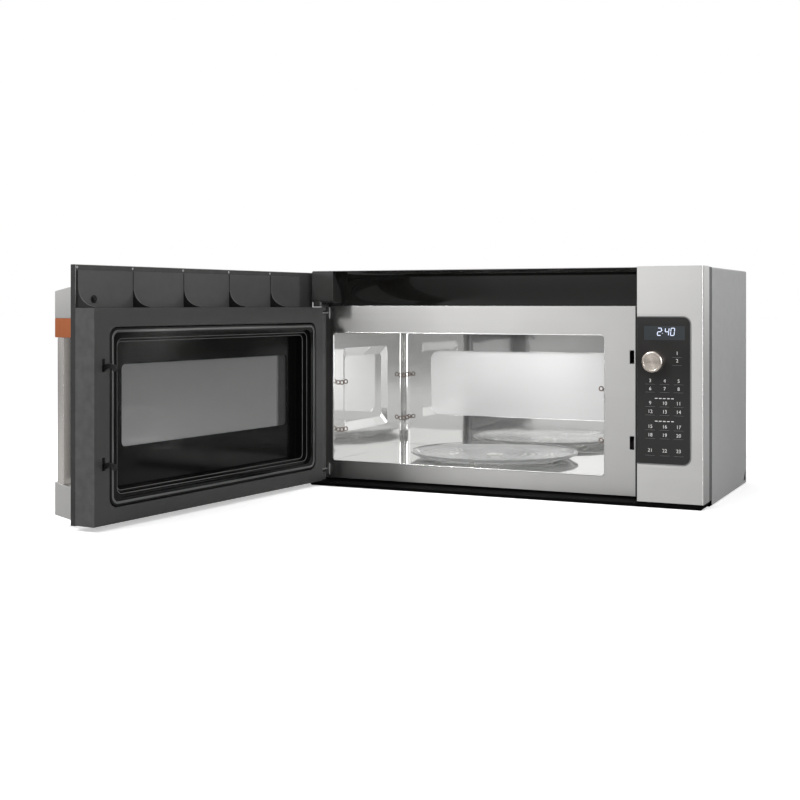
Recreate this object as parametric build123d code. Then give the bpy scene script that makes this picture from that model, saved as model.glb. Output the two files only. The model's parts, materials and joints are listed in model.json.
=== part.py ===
from build123d import *
import math
import os

# Over-the-range microwave hood, 30 inch class, with its door standing open.
# X runs to the right, Y towards the wall, Z up. The origin is the centre of the
# wall plate's rear face. Door parts are drawn closed and then swung open.

# ---------------------------------------------------------------- overall
WIDTH = 759.0             # case width
DEPTH = 394.0             # wall to door skin
HEIGHT = 414.0            # base pan to fascia top
FRONT_DEPTH = 52.0        # door and fascia in front of the oven face
BASE_DROP = 10.0         # base pan below the fascia
FASCIA_H = HEIGHT - BASE_DROP
FASCIA_WIDTH = 114.0      # control column
SHEET = 1.0               # case and liner steel
RUN = 0.3                 # clearance between pieces that move past each other
PIN_FIT = 0.05            # radial clearance of a pin in its bore
SEAT = 0.2                # clearance of a fixed piece in its pocket

# ---------------------------------------------------------------- case
CASE_SETBACK = 18.0       # case edge behind the oven face
CASE_STEP = 1.0           # case top below the fascia top
CASE_R = 3.0              # bend radius of the wrapped sheet
CORNER_HOLE = 24.0        # triangular knock-out in the lower rear corner
CABINET_BOLT_R = 4.0      # holes for the bolts to the cabinet above
CABINET_BOLT_SPAN = 540.0
CABINET_BOLT_Y = 262.0    # bolt line to the wall
CORD_HOLE_R = 11.0
CORD_BORE_R = 5.0
CORD_FROM_RIGHT = 60.0
CORD_FROM_WALL = 40.0
PANEL_INSET = 1.9         # rear sheet in front of the wall
PANEL_FLANGE = 12.0       # folded edge of the rear sheet
PLATE_T = 1.6             # wall plate steel
PLATE_W = 735.0
STUD_SPAN = 406.4         # 16 inch studs
BOLT_ROWS = 200.0
WALL_BOLT_R = 4.0
BOLT_HEAD_R = 12.0        # holes in the rear sheet over the wall bolts' heads
WEB_W = 60.0              # middle web between the plate's windows
TAB_W = 28.0              # hanging tabs
TAB_REACH = 12.0
TAB_UP = 10.0
TAB_Z = 32.0             # tabs above the base pan
PLATE_BELOW = 12.0       # plate below the fascia top
PLATE_H = HEIGHT - TAB_Z - PLATE_BELOW
PAN_T = 2.0               # base pan wall
PAN_RIM = 14.0
LIP_OUT = 50.0            # base lip in front of the oven face
LIP_TOP = 4.0             # lip top below the fascia bottom
LIP_SLANT = 5.0
FILTER_W = 270.0
FILTER_D = 160.0
FILTER_T = 8.0
FILTER_LEDGE = 6.0
FILTER_TRAVEL = 10.0
FILTER_LEFT_X = 48.0      # left filter from the case side
FILTER_RIGHT_X = 335.0
FILTER_Y = 100.0          # filters from the wall
LAMP_W = 100.0
LAMP_D = 36.0
LAMP_Y = 285.0            # lamps from the wall
LAMP_LEFT_X = 130.0
LAMP_RIGHT_X = 530.0

# ---------------------------------------------------------------- oven
CAVITY_W = 543.5
CAVITY_FROM_SILL = 34.4
CEILING_ROOM = 121.6     # blower space over the oven
CAVITY_H = FASCIA_H - CAVITY_FROM_SILL - CEILING_ROOM
CAVITY_D = 334.0
CAVITY_FROM_LEFT = 27.9
CAVITY_R = 14.0           # rear corners
OPENING_R = 5.0
FACE_T = 1.2              # oven face sheet
GRILLE_BAND = 68.7       # grille band over the oven face
FACE_H = FASCIA_H - GRILLE_BAND
EMBOSS_IN = 6.0           # pressed panel in the side wall
EMBOSS_FRONT = 40.0
EMBOSS_LENGTH = 205.0
EMBOSS_LOW = 50.0
EMBOSS_ABOVE = 30.0
EMBOSS_TALL = CAVITY_H - EMBOSS_LOW - EMBOSS_ABOVE
EMBOSS_SLOPE = 18.0
BACK_IN = 3.5             # pressed panel in the rear wall
BACK_W = 420.0
BACK_LOW = 66.0
BACK_ABOVE = 44.0
BACK_H = CAVITY_H - BACK_LOW - BACK_ABOVE
BACK_R = 20.0
TRACK_R = 130.0           # sunk roller track
TRACK_DEEP = 6.0
SLOT_COUNT = 12           # hot-air slots in the ceiling
SLOT_IN = 24.0
SLOT_OUT = 50.0
SLOT_W = 4.0
CLIP_R = 5.0              # rack support eye
CLIP_HOLE = 2.4
CLIP_T = 3.0
CLIP_FRONT = 27.0
CLIP_BACK = 318.0
CLIP_LOW = 57.0
CLIP_BELOW = 98.0        # upper clips below the ceiling
CLIP_HIGH = CAVITY_H - CLIP_BELOW

# ---------------------------------------------------------------- turntable
TRAY_R = 165.5
TRAY_T = 4.5
TRAY_RISE = 3.0
TRAY_FLAT_R = 148.0
TRAY_Y = 167.0            # tray centre behind the oven face
TRAY_X = 271.75           # tray centre from the cavity's left wall
ROLLER_R = 6.5
ROLLER_W = 6.0
ROLLER_TRACK = 116.0
AXLE_R = 1.5
RING_IN = 104.0
RING_W = 4.0
RING_T = 4.0
COUPLER_R = 15.0
LOBE_R = 5.5
SHAFT_R = 3.5
MOTOR_R = 25.0
MOTOR_H = 14.0

# ---------------------------------------------------------------- grille
GRILLE_OUT = 39.0         # grille top edge in front of the oven face
GRILLE_LIP = 5.2
GRILLE_BELLY = 7.0        # depth of the concave curve
GRILLE_T = 2.5
GRILLE_WEB = 20.0
GRILLE_LEFT = 47.0
CAP_OUT = 38.0
CAP_H = 49.0
CAP_LOW = FASCIA_H - CAP_H
CAP_R = 20.0
GRILLE_SLOTS = 14
FILTER_BED_W = 300.0      # charcoal filter
FILTER_BED_H = 58.0
FILTER_BED_T = 12.0

# ---------------------------------------------------------------- fascia
FASCIA_T = 1.2
FASCIA_BACK = 6.0         # fascia's rear edge in front of the oven face
GLASS_W = 91.6            # touch panel
GLASS_LOW = 65.7
GLASS_ABOVE = 87.2
GLASS_H = FASCIA_H - GLASS_LOW - GLASS_ABOVE
GLASS_R = 13.0
GLASS_T = 4.0
GLASS_IN = 1.0            # glass face behind the fascia face
BEVEL = 4.6
BEVEL_IN = 0.6
BOARD_T = 1.6
BOARD_W = 96.0
BOARD_LOW = 40.0
BOARD_ABOVE = 74.0
BOARD_H = FASCIA_H - BOARD_LOW - BOARD_ABOVE
BOARD_IN = 22.0           # board's front in front of the oven face
WINDOW_X = 10.0           # display window from the fascia's left edge
WINDOW_W = 74.0
WINDOW_BELOW = 41.3      # window's lower edge below the glass top
WINDOW_LOW = GLASS_LOW + GLASS_H - WINDOW_BELOW
WINDOW_H = 27.7
DIAL_X = 29.3
DIAL_BELOW = 35.1        # dial under the window
DIAL_Z = WINDOW_LOW - DIAL_BELOW
DIAL_R = 18.5
DIAL_H = 15.0
DIAL_GAP = 2.0            # dial off the glass
DIAL_SHAFT_R = 3.0
PLUNGER_R = 4.2
PRESS = 1.2

# ---------------------------------------------------------------- door
DOOR_SIDE = 1.5           # door edge from the case side
DOOR_GAP = 2.0            # door to fascia
DOOR_BELOW = 2.4          # door below the fascia bottom
DOOR_DOWN = 4.0          # door top below the fascia top
DOOR_TOP = FASCIA_H - DOOR_DOWN
FLANGE_H = 67.0          # thin top flange
LEDGE = DOOR_TOP - FLANGE_H  # top of the thick door body
INNER = 2.0               # door's inner face in front of the oven face
SKIN_T = 1.0
RETURN = 11.0             # folded edge of the skin
FLANGE_IN = 41.0          # thin top flange's inner face
COVER_T = 7.7             # choke cover
COVER_LEFT = 24.0
GROOVE_LEFT = 48.0        # joint round the window surround
GROOVE_RIGHT = 609.0
GROOVE_LOW = 23.6
GROOVE_BELOW = 29.6
GROOVE_HIGH = LEDGE - GROOVE_BELOW
GROOVE_R = 16.0
GROOVE_GAP = 1.2
BEAD = 15.0               # rounded rim of the surround
STEP = 6.0
STEP_DEPTH = 6.0
WELL = 28.0               # depth of the surround
VIEW_LEFT = 116.0         # clear window
VIEW_RIGHT = 528.0
VIEW_LOW = 112.0
VIEW_BELOW = 60.4
VIEW_HIGH = GROOVE_HIGH - VIEW_BELOW
VIEW_R = 8.0
PANE_T = 3.5
SCREEN_T = 1.0
OUTER_LEFT = 61.0         # front glass
OUTER_RIGHT = 596.0
OUTER_LOW = 60.0
OUTER_BELOW = 12.4
OUTER_HIGH = GROOVE_HIGH - OUTER_BELOW
OUTER_T = 4.0
RIB_PITCH = 124.4         # air scoops
RIB_LAST = 639.0
RIB_COUNT = 5
RIB_T = 2.4
SCOOP_BELOW = 9.0
SCOOP_TOP = DOOR_TOP - SCOOP_BELOW
SCOOP_T = 1.6
SCOOP_CUT = 32.0
SCOOP_BELLY = 9.0
HINGE_X = 7.4
HINGE_Y = 22.8
HINGE_PIN_R = 3.0
HINGE_PIN = 12.0
HINGE_ARM = 7.0
HINGE_T = 2.5
HINGE_BELOW = 12.5       # upper hinge below the ledge
HINGE_HIGH = LEDGE - HINGE_BELOW
HINGE_LOW = 16.0
NOTCH_UP = 3.2
NOTCH_DOWN = 1.5
OPEN_ANGLE = 95.7

# ---------------------------------------------------------------- handle
HANDLE_IN = 10.0          # handle's outer side from the door's free edge
HANDLE_W = 22.0
HANDLE_OUT = 44.0
BAR_T = 15.5
BAR_SET = 3.5             # bar behind the mounts' faces
BAR_R = 6.0
MOUNT_BELOW = 32.0
MOUNT_TOP = DOOR_TOP - MOUNT_BELOW
MOUNT_SLOPE = 9.0
MOUNT_TOP_OUT = MOUNT_TOP - MOUNT_SLOPE
BAND_BELOW = 51.4
BAND_TOP = MOUNT_TOP - BAND_BELOW
BAND_H = 29.8
BAND_LOW = BAND_TOP - BAND_H
FOOT_TOP_OUT = 61.5
FOOT_TOP = 53.0
FOOT_LOW = 2.7

# ---------------------------------------------------------------- latch
HOOK_X = 620.5
HOOK_T = 3.0
HOOK_LOW = 84.5           # hook bases above the fascia bottom
HOOK_BELOW = 97.0        # upper hook below the ledge
HOOK_HIGH = LEDGE - HOOK_BELOW
HOOK_OUT = 28.0           # hook tip from the door's inner face
LATCH_LIFT = 4.0
CHANNEL_LEFT = 612.5
CHANNEL_RIGHT = 638.5
LATCH_BAR_T = 5.7
SLOT_X = 618.4
SLOT_WIDE = 7.9
SLOT_H = 23.7
SLOT_DOWN = 2.6           # slot below the hook's base
BOARD_LEFT = 612.0        # latch board
BOARD_RIGHT = 641.0
BOARD_DEEP = 46.0
BOARD_UNDER = 36.5       # latch board below the lower hook
BOARD_OVER = 34.0        # latch board above the upper hook
BAR_UNDER = 12.5         # latch bar below the lower hook
BAR_OVER = 32.0          # latch bar above the upper hook
BAR_WEB = 27.5           # latch bar's solid end, from the lower hook
BAR_WEB_OVER = 10.0      # and from the upper hook
SWITCH_H = 28.0

# ---------------------------------------------------------------- ventilation
WHEEL_R = 40.0
WHEEL_IN = 32.0
WHEEL_W = 70.0
BLADES = 20
BLADE_T = 0.9
BLOWER_X = 300.0
BLOWER_Y = 262.0
BLOWER_BELOW = 70.4
BLOWER_Z = FASCIA_H - BLOWER_BELOW
BLOWER_MOTOR_R = 28.0
BLOWER_MOTOR_W = 52.0
BLOWER_SHAFT_R = 4.0
SCROLL_R = 48.0
SCROLL_T = 1.5
INLET_R = 34.0
DUCT_W = 254.0            # exhaust collar, 10 by 3.25 inches
DUCT_D = 82.6
DUCT_H = 19.0
DUCT_T = 1.5
DUCT_Y = 255.0
FLAP_T = 1.2
FLAP_PIN_R = 2.0

# ---------------------------------------------------------------- convection
CONV_R = 85.0
CONV_H = 30.0
CONV_Y = 120.0
CONV_FAN_R = 58.0
CONV_FAN_H = 13.0
CONV_BLADES = 8
HEATER_R = 72.0
HEATER_T = 3.5
HEATER_END = 14.0         # heater ends from the middle
CONV_MOTOR_R = 28.0
CONV_MOTOR_H = 32.0
CONV_SHAFT_R = 3.0

# ---------------------------------------------------------------- power parts
FAN_R = 54.0
FAN_HUB_R = 18.0
FAN_D = 17.0
FAN_X = 665.0
FAN_Z = 195.0
SHROUD_W = 150.0
SHROUD_DEEP = 20.0
GUIDE_W = 25.0            # waveguide
GUIDE_Y = 130.0
GUIDE_L = 110.0
GUIDE_BELOW = 92.4       # waveguide foot below the ceiling
GUIDE_LOW = CAVITY_FROM_SILL + CAVITY_H - GUIDE_BELOW
GUIDE_H = 85.0
MAG_W = 80.0              # magnetron
MAG_L = 82.0
MAG_H = 86.0
MAG_FINS = 7
PORT_L = 70.0
PORT_H = 50.0
SUPPLY_X = 618.0          # inverter supply
SUPPLY_W = 125.0
SUPPLY_L = 140.0
SUPPLY_UP = 18.0          # board above the base pan
SINK_FINS = 9

# ---------------------------------------------------------------- frame
X_LEFT = -WIDTH / 2
X_RIGHT = WIDTH / 2
X_FASCIA = X_RIGHT - FASCIA_WIDTH
Y_FACE = -(DEPTH - FRONT_DEPTH)
Y_FRONT = -DEPTH
Y_CASE = Y_FACE + CASE_SETBACK
Y_PANEL = -PANEL_INSET
Z_FLOOR = -HEIGHT / 2
Z_SILL = Z_FLOOR + BASE_DROP
Z_TOP = HEIGHT / 2
Z_CASE = Z_TOP - CASE_STEP
X_DOOR = X_LEFT + DOOR_SIDE
X_DOOR_END = X_FASCIA - DOOR_GAP
Z_DOOR = Z_SILL - DOOR_BELOW
Z_DOOR_TOP = Z_SILL + DOOR_TOP
Z_LEDGE = Z_SILL + LEDGE
Y_INNER = Y_FACE - INNER
Y_FLANGE = Y_FACE - FLANGE_IN
X_CAVITY = X_LEFT + CAVITY_FROM_LEFT
X_CAVITY_END = X_CAVITY + CAVITY_W
Y_CAVITY = Y_FACE + CAVITY_D
Z_CAVITY = Z_SILL + CAVITY_FROM_SILL
Z_CEILING = Z_CAVITY + CAVITY_H
X_HINGE = X_LEFT + HINGE_X
Y_HINGE = Y_FACE - HINGE_Y
X_TRAY = X_CAVITY + TRAY_X
Y_TRAY = Y_FACE + TRAY_Y
Z_TRACK = Z_CAVITY - TRACK_DEEP
Z_ROLLER = Z_TRACK + RUN + ROLLER_R
Z_TRAY = Z_ROLLER + ROLLER_R + RUN
X_DIAL = X_FASCIA + DIAL_X
Z_DIAL = Z_SILL + DIAL_Z
Y_GLASS = Y_FRONT + GLASS_IN
Y_BOARD = Y_FACE - BOARD_IN
X_BLOWER = X_LEFT + BLOWER_X
Y_BLOWER = Y_FACE + BLOWER_Y
Z_BLOWER = Z_SILL + BLOWER_Z
X_CONV = X_TRAY
Y_CONV = Y_FACE + CONV_Y
Z_CONV = Z_CEILING + SHEET


# ---------------------------------------------------------------- helpers
def block(x0, x1, y0, y1, z0, z1):
    """A box between two corners."""
    centre = Pos((x0 + x1) / 2, (y0 + y1) / 2, (z0 + z1) / 2)
    return centre * Box(x1 - x0, y1 - y0, z1 - z0)


def rod(axis, x, y, z, r, length):
    """A cylinder that starts at a point and runs along +X, +Y or +Z."""
    turn = {"x": Rot(0, 90, 0), "y": Rot(-90, 0, 0), "z": Rot(0, 0, 0)}[axis]
    solid = Cylinder(r, length, align=(Align.CENTER, Align.CENTER, Align.MIN))
    return Pos(x, y, z) * turn * solid


def slab_y(x0, x1, z0, z1, y0, y1, r):
    """A rounded rectangle in X and Z, from y0 to y1."""
    outline = Pos((x0 + x1) / 2, (z0 + z1) / 2) * RectangleRounded(x1 - x0, z1 - z0, r)
    return Pos(0, y1, 0) * extrude(Plane.XZ * outline, y1 - y0)


def slab_z(x0, x1, y0, y1, z0, z1, r):
    """A rounded rectangle in X and Y, from z0 to z1."""
    outline = Pos((x0 + x1) / 2, (y0 + y1) / 2) * RectangleRounded(x1 - x0, y1 - y0, r)
    return Pos(0, 0, z0) * extrude(outline, z1 - z0)


def prism_x(points, x0, x1):
    """A closed outline in Y and Z, from x0 to x1."""
    face = make_face(Polyline(*points, close=True).edges())
    return Pos(x0, 0, 0) * extrude(Plane.YZ * face, x1 - x0)


def prism_y(points, y0, y1):
    """A closed outline in X and Z, from y0 to y1."""
    face = make_face(Polyline(*points, close=True).edges())
    return Pos(0, y1, 0) * extrude(Plane.XZ * face, y1 - y0)


def curved_x(curves, x0, x1):
    """A closed outline of lines and arcs in Y and Z, from x0 to x1."""
    face = make_face(sum(curves[1:], start=curves[0]).edges())
    return Pos(x0, 0, 0) * extrude(Plane.YZ * face, x1 - x0)


def ring_z(x, y, z, r_out, r_in, height):
    """A round tube along Z."""
    return rod("z", x, y, z, r_out, height) - rod("z", x, y, z - 1, r_in, height + 2)


def swing(part):
    """Turn a door part from closed to open about the hinge."""
    centre = Pos(X_HINGE, Y_HINGE, 0)
    return centre * Rot(0, 0, -OPEN_ANGLE) * centre.inverse() * part


# ---------------------------------------------------------------- case parts
def outer_case():
    """Wrapped sheet: top, both sides and the strip above the grille."""
    low = Z_FLOOR + 1
    shell = block(X_LEFT, X_RIGHT, Y_CASE, 0, low, Z_CASE)
    shell = fillet(shell.edges().filter_by(Axis.Y).group_by(Axis.Z)[-1], CASE_R)
    hollow = block(X_LEFT + SHEET, X_RIGHT - SHEET, Y_CASE - 1, 1, low - 1, Z_CASE - SHEET)
    hollow = fillet(hollow.edges().filter_by(Axis.Y).group_by(Axis.Z)[-1], CASE_R - SHEET)
    case = shell - hollow
    case += block(X_LEFT + CASE_R, X_FASCIA - DOOR_GAP, Y_FACE - GRILLE_OUT - 1, Y_CASE,
                  Z_CASE - SHEET, Z_CASE)
    duct_x = X_BLOWER
    duct_y = Y_FACE + DUCT_Y
    case -= block(duct_x - DUCT_W / 2, duct_x + DUCT_W / 2, duct_y, duct_y + DUCT_D,
                  Z_CASE - 5, Z_CASE + 5)
    for side in (-1, 1):
        case -= rod("z", side * CABINET_BOLT_SPAN / 2, -CABINET_BOLT_Y, Z_CASE - 5,
                    CABINET_BOLT_R, 10)
    case -= rod("z", X_RIGHT - CORD_FROM_RIGHT, -CORD_FROM_WALL, Z_CASE - 5,
                CORD_HOLE_R + SEAT, 10)
    edge = 5.0
    hole = [(-edge - CORNER_HOLE, low + edge), (-edge, low + edge),
            (-edge, low + edge + CORNER_HOLE)]
    case -= prism_x(hole, X_LEFT - 1, X_RIGHT + 1)
    return case


def rear_panel():
    """Rear sheet with a folded edge and slots for the wall plate's tabs."""
    x0 = X_LEFT + SHEET
    x1 = X_RIGHT - SHEET
    z0 = Z_FLOOR + PAN_T
    z1 = Z_CASE - SHEET
    y1 = Y_PANEL
    y0 = y1 - SHEET
    panel = block(x0, x1, y0 - PANEL_FLANGE, y1, z0, z1)
    panel = fillet(panel.edges().filter_by(Axis.Y).group_by(Axis.Z)[-1], CASE_R - SHEET)
    panel -= block(x0 + SHEET, x1 - SHEET, y0 - PANEL_FLANGE - 1, y0, z0 + SHEET, z1 - SHEET)
    for x in tab_places():
        z = Z_FLOOR + TAB_Z
        panel -= block(x - TAB_W / 2 - 2, x + TAB_W / 2 + 2, y0 - 1, y1 + 1,
                       z - 1, z + TAB_UP + 2)
    for x in (-STUD_SPAN / 2, STUD_SPAN / 2):
        for z in (-BOLT_ROWS / 2, BOLT_ROWS / 2):
            panel -= rod("y", x, y0 - 1, z, BOLT_HEAD_R, SHEET + 2)
    edge = 5.0 + CORNER_HOLE
    panel -= block(x0 - 1, x0 + SHEET, y0 - PANEL_FLANGE - 1, y0, z0 - 1, z0 + edge + 3)
    panel -= block(x1 - SHEET, x1 + 1, y0 - PANEL_FLANGE - 1, y0, z0 - 1, z0 + edge + 3)
    duct_y = Y_FACE + DUCT_Y
    if duct_y + DUCT_D + DUCT_T > y0 - PANEL_FLANGE:
        panel -= block(X_BLOWER - DUCT_W / 2 - 9, X_BLOWER + DUCT_W / 2 + 9,
                       y0 - PANEL_FLANGE - 1, y0, z1 - SHEET - 1, z1 + 1)
    return panel


def tab_places():
    """X positions of the wall plate's four hanging tabs."""
    inner = STUD_SPAN / 2 - 80
    outer = PLATE_W / 2 - 50
    return [-outer, -inner, inner, outer]


def wall_plate():
    """Steel plate that is bolted to the wall and carries the case on its tabs."""
    z0 = Z_FLOOR + TAB_Z
    z1 = z0 + PLATE_H
    plate = slab_y(-PLATE_W / 2, PLATE_W / 2, z0, z1, -PLATE_T, 0, 6)
    for x in (-STUD_SPAN / 2 + 25, WEB_W / 2):
        plate -= slab_y(x, x + STUD_SPAN / 2 - 25 - WEB_W / 2, -BOLT_ROWS / 2 + 20,
                        BOLT_ROWS / 2 - 20, -PLATE_T - 1, 1, 10)
    for x in (-STUD_SPAN / 2, STUD_SPAN / 2):
        for z in (-BOLT_ROWS / 2, BOLT_ROWS / 2):
            plate -= rod("y", x, -PLATE_T - 1, z, WALL_BOLT_R, PLATE_T + 2)
    for x in (-STUD_SPAN / 2 - 90, STUD_SPAN / 2 + 90):
        plate -= slab_y(x - 25, x + 25, -90, 110, -PLATE_T - 1, 1, 10)
    for x in tab_places():
        plate += block(x - TAB_W / 2, x + TAB_W / 2, -PLATE_T - TAB_REACH, -PLATE_T,
                       z0, z0 + PLATE_T)
        plate += block(x - TAB_W / 2, x + TAB_W / 2, -PLATE_T - TAB_REACH,
                       -TAB_REACH, z0, z0 + TAB_UP)
    return plate


def cord_gland():
    """Bushing in the case top for the line cord."""
    x = X_RIGHT - CORD_FROM_RIGHT
    y = -CORD_FROM_WALL
    gland = rod("z", x, y, Z_CASE - 8, CORD_HOLE_R, 8)
    gland += rod("z", x, y, Z_CASE, CORD_HOLE_R + 2, CASE_STEP)
    gland += rod("z", x, y, Z_CASE - 8, CORD_HOLE_R + 2, 8 - SHEET)
    return gland - rod("z", x, y, Z_CASE - 9, CORD_BORE_R, 12)


def filter_corner(side):
    """Left front corner of a grease filter."""
    x = X_LEFT + (FILTER_LEFT_X if side == "left" else FILTER_RIGHT_X)
    return x, -FILTER_Y - FILTER_D


def lamp_corner(side):
    """Left front corner of a surface lamp opening."""
    x = X_LEFT + (LAMP_LEFT_X if side == "left" else LAMP_RIGHT_X)
    return x, -LAMP_Y - LAMP_D


def base_pan():
    """Black pan under the case, with its front lip, filter rails and openings."""
    x0 = X_LEFT + SHEET + SEAT
    x1 = X_RIGHT - SHEET - SEAT
    y0 = Y_FACE + 4
    floor = block(x0, x1, y0, Y_PANEL, Z_FLOOR, Z_FLOOR + PAN_T)
    rear = -PANEL_FLANGE - 8
    walls = block(x0, x1, Y_CASE, rear, Z_FLOOR, Z_FLOOR + PAN_RIM)
    walls -= block(x0 + PAN_T, x1 - PAN_T, Y_CASE - 1, rear + 1, Z_FLOOR - 1, Z_FLOOR + 30)
    corner = 5.0 + CORNER_HOLE
    walls -= block(x0 - 1, x1 + 1, -corner - 6, 1, Z_FLOOR + PAN_T, Z_FLOOR + 30)
    lip = prism_x([(Y_FACE - LIP_OUT, Z_FLOOR + 2), (Y_FACE - LIP_OUT, Z_SILL - LIP_TOP),
                   (Y_FACE - 0.5, Z_SILL - LIP_TOP), (Y_FACE - 0.5, Z_SILL),
                   (Y_FACE + 4, Z_SILL), (Y_FACE + 4, Z_FLOOR),
                   (Y_FACE - LIP_OUT + 3, Z_FLOOR)], X_LEFT + 0.5, X_RIGHT - 0.5)
    lip -= block(x0 + 8, x1 - 8, Y_FACE - LIP_OUT + 5, Y_FACE + 1, Z_FLOOR - 1, Z_FLOOR + 3)
    lip += block(X_FASCIA + 0.5, X_RIGHT - 0.5, Y_FACE - LIP_OUT, Y_FACE - 0.5,
                 Z_SILL - LIP_TOP, Z_SILL)
    ends = prism_y([(X_LEFT + 0.5 + LIP_SLANT, Z_FLOOR), (X_RIGHT - 0.5 - LIP_SLANT, Z_FLOOR),
                    (X_RIGHT - 0.5, Z_SILL), (X_LEFT + 0.5, Z_SILL)],
                   Y_FRONT, Y_FACE + 10)
    pan = floor + walls + (lip & ends)
    top = Z_FLOOR + PAN_T
    for side in ("left", "right"):
        x, y = filter_corner(side)
        x_end = x + FILTER_W + FILTER_TRAVEL
        pan -= block(x + 2, x_end - 2, y + FILTER_LEDGE, y + FILTER_D - FILTER_LEDGE,
                     Z_FLOOR - 1, top + 1)
        for y_rail, lip_at in ((y - RUN - PAN_T, y - RUN), (y + FILTER_D + RUN, y + FILTER_D - 4)):
            z_rail = top + FILTER_T + 2 * RUN
            pan += block(x, x_end, y_rail, y_rail + PAN_T, top, z_rail)
            width = 4 + RUN
            pan += block(x, x_end, min(lip_at, y_rail), min(lip_at, y_rail) + width + PAN_T,
                         z_rail, z_rail + PAN_T)
        x, y = lamp_corner(side)
        pan -= slab_z(x, x + LAMP_W, y, y + LAMP_D, Z_FLOOR - 1, top + 1, 6)
    return pan


def surface_lamp_covers():
    """Two glass covers under the case, each dropped into its opening."""
    covers = None
    for side in ("left", "right"):
        x, y = lamp_corner(side)
        cover = slab_z(x + SEAT, x + LAMP_W - SEAT, y + SEAT, y + LAMP_D - SEAT,
                       Z_FLOOR + 0.5, Z_FLOOR + PAN_T, 5.8)
        cover += slab_z(x - 4, x + LAMP_W + 4, y - 4, y + LAMP_D + 4,
                        Z_FLOOR + PAN_T, Z_FLOOR + PAN_T + 2, 8)
        covers = cover if covers is None else covers + cover
    return covers


def grease_filter(side):
    """Framed mesh pad that lies on the base pan's ledges."""
    x, y = filter_corner(side)
    z = Z_FLOOR + PAN_T + RUN
    pad = slab_z(x, x + FILTER_W, y, y + FILTER_D, z, z + FILTER_T, 4)
    edge = 9.0
    for z0 in (z - 1, z + FILTER_T - 1.5):
        pad -= slab_z(x + edge, x + FILTER_W - edge, y + edge, y + FILTER_D - edge,
                      z0, z0 + 2.5, 3)
    tab = slab_z(x + FILTER_W / 2 - 14, x + FILTER_W / 2 + 14, y + edge - 2, y + edge + 12,
                 z, z + 1.5, 3)
    return pad + tab


# ---------------------------------------------------------------- oven parts
def cavity_volume(grow, y0):
    """The oven's inner space, grown by a sheet's thickness for its outside."""
    width = CAVITY_W + 2 * grow
    depth = Y_CAVITY + grow - y0
    outline = Pos((X_CAVITY + X_CAVITY_END) / 2, y0 + depth / 2) * Rectangle(width, depth)
    outline = fillet(outline.vertices().group_by(Axis.Y)[-1], CAVITY_R + grow)
    space = Pos(0, 0, Z_CAVITY - grow) * extrude(outline, CAVITY_H + 2 * grow)
    space += side_emboss(grow)
    x_mid = (X_CAVITY + X_CAVITY_END) / 2
    z0 = Z_CAVITY + BACK_LOW
    space += slab_y(x_mid - BACK_W / 2 - grow, x_mid + BACK_W / 2 + grow, z0 - grow,
                    z0 + BACK_H + grow, Y_CAVITY - 5, Y_CAVITY + BACK_IN + grow, BACK_R)
    space += rod("z", X_TRAY, Y_TRAY, Z_TRACK - grow, TRACK_R + grow, TRACK_DEEP + 5)
    return space


def side_emboss(grow):
    """Tapered panel pressed out of the left wall."""
    y_mid = Y_FACE + EMBOSS_FRONT + EMBOSS_LENGTH / 2
    z_mid = Z_CAVITY + EMBOSS_LOW + EMBOSS_TALL / 2
    faces = []
    for x, shrink in ((X_CAVITY + 0.5, 0), (X_CAVITY - EMBOSS_IN - grow, EMBOSS_SLOPE)):
        outline = RectangleRounded(EMBOSS_LENGTH - 2 * shrink + 2 * grow,
                                   EMBOSS_TALL - 2 * shrink + 2 * grow, 10)
        faces.append(Pos(x, 0, 0) * (Plane.YZ * (Pos(y_mid, z_mid) * outline)))
    return loft(Sketch() + faces)


def guide_port():
    """Y and Z limits of the opening between the waveguide and the oven."""
    y0 = Y_FACE + GUIDE_Y + (GUIDE_L - PORT_L) / 2
    z0 = Z_SILL + GUIDE_LOW + 10
    return y0, y0 + PORT_L, z0, z0 + PORT_H


def oven_cavity():
    """Polished liner: pressed walls, sunk roller track, slots and openings."""
    liner = cavity_volume(SHEET, Y_FACE + FACE_T) - cavity_volume(0, Y_FACE - 5)
    liner -= rod("z", X_TRAY, Y_TRAY, Z_TRACK - 5, SHAFT_R + 3, 10)
    y0, y1, z0, z1 = guide_port()
    liner -= block(X_CAVITY_END - 1, X_CAVITY_END + 3, y0, y1, z0, z1)
    for i in range(SLOT_COUNT):
        slot = block(SLOT_IN, SLOT_OUT, -SLOT_W / 2, SLOT_W / 2, -3, 3)
        place = Pos(X_CONV, Y_CONV, Z_CEILING) * Rot(0, 0, 360 * i / SLOT_COUNT)
        liner -= place * slot
    return liner


def waveguide_cover():
    """Thin sheet over the waveguide's opening."""
    y0, y1, z0, z1 = guide_port()
    return block(X_CAVITY_END - 1.2, X_CAVITY_END, y0 - 6, y1 + 6, z0 - 6, z1 + 6)


def rack_clips():
    """Two-eyed wire supports on both side walls, two high and two deep."""
    clips = None
    for x, side in ((X_CAVITY, 1), (X_CAVITY_END, -1)):
        for dy in (CLIP_FRONT, CLIP_BACK):
            for dz in (CLIP_LOW, CLIP_HIGH):
                clip = None
                for reach in (0.8, 2.55):
                    centre = x + side * CLIP_R * reach
                    y = Y_FACE + dy
                    z = Z_CAVITY + dz + (2 if reach > 1 else 0)
                    ring = RegularPolygon(CLIP_R, 12) - RegularPolygon(CLIP_HOLE, 8)
                    eye = extrude(Plane.XZ * (Pos(centre, z) * ring), CLIP_T)
                    eye = Pos(0, y + CLIP_T / 2, 0) * eye
                    clip = eye if clip is None else clip + eye
                inside = block(X_CAVITY, X_CAVITY_END, Y_FACE, Y_CAVITY, Z_CAVITY, Z_CEILING)
                clip = clip & inside
                clips = clip if clips is None else clips + clip
    return clips


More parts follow.
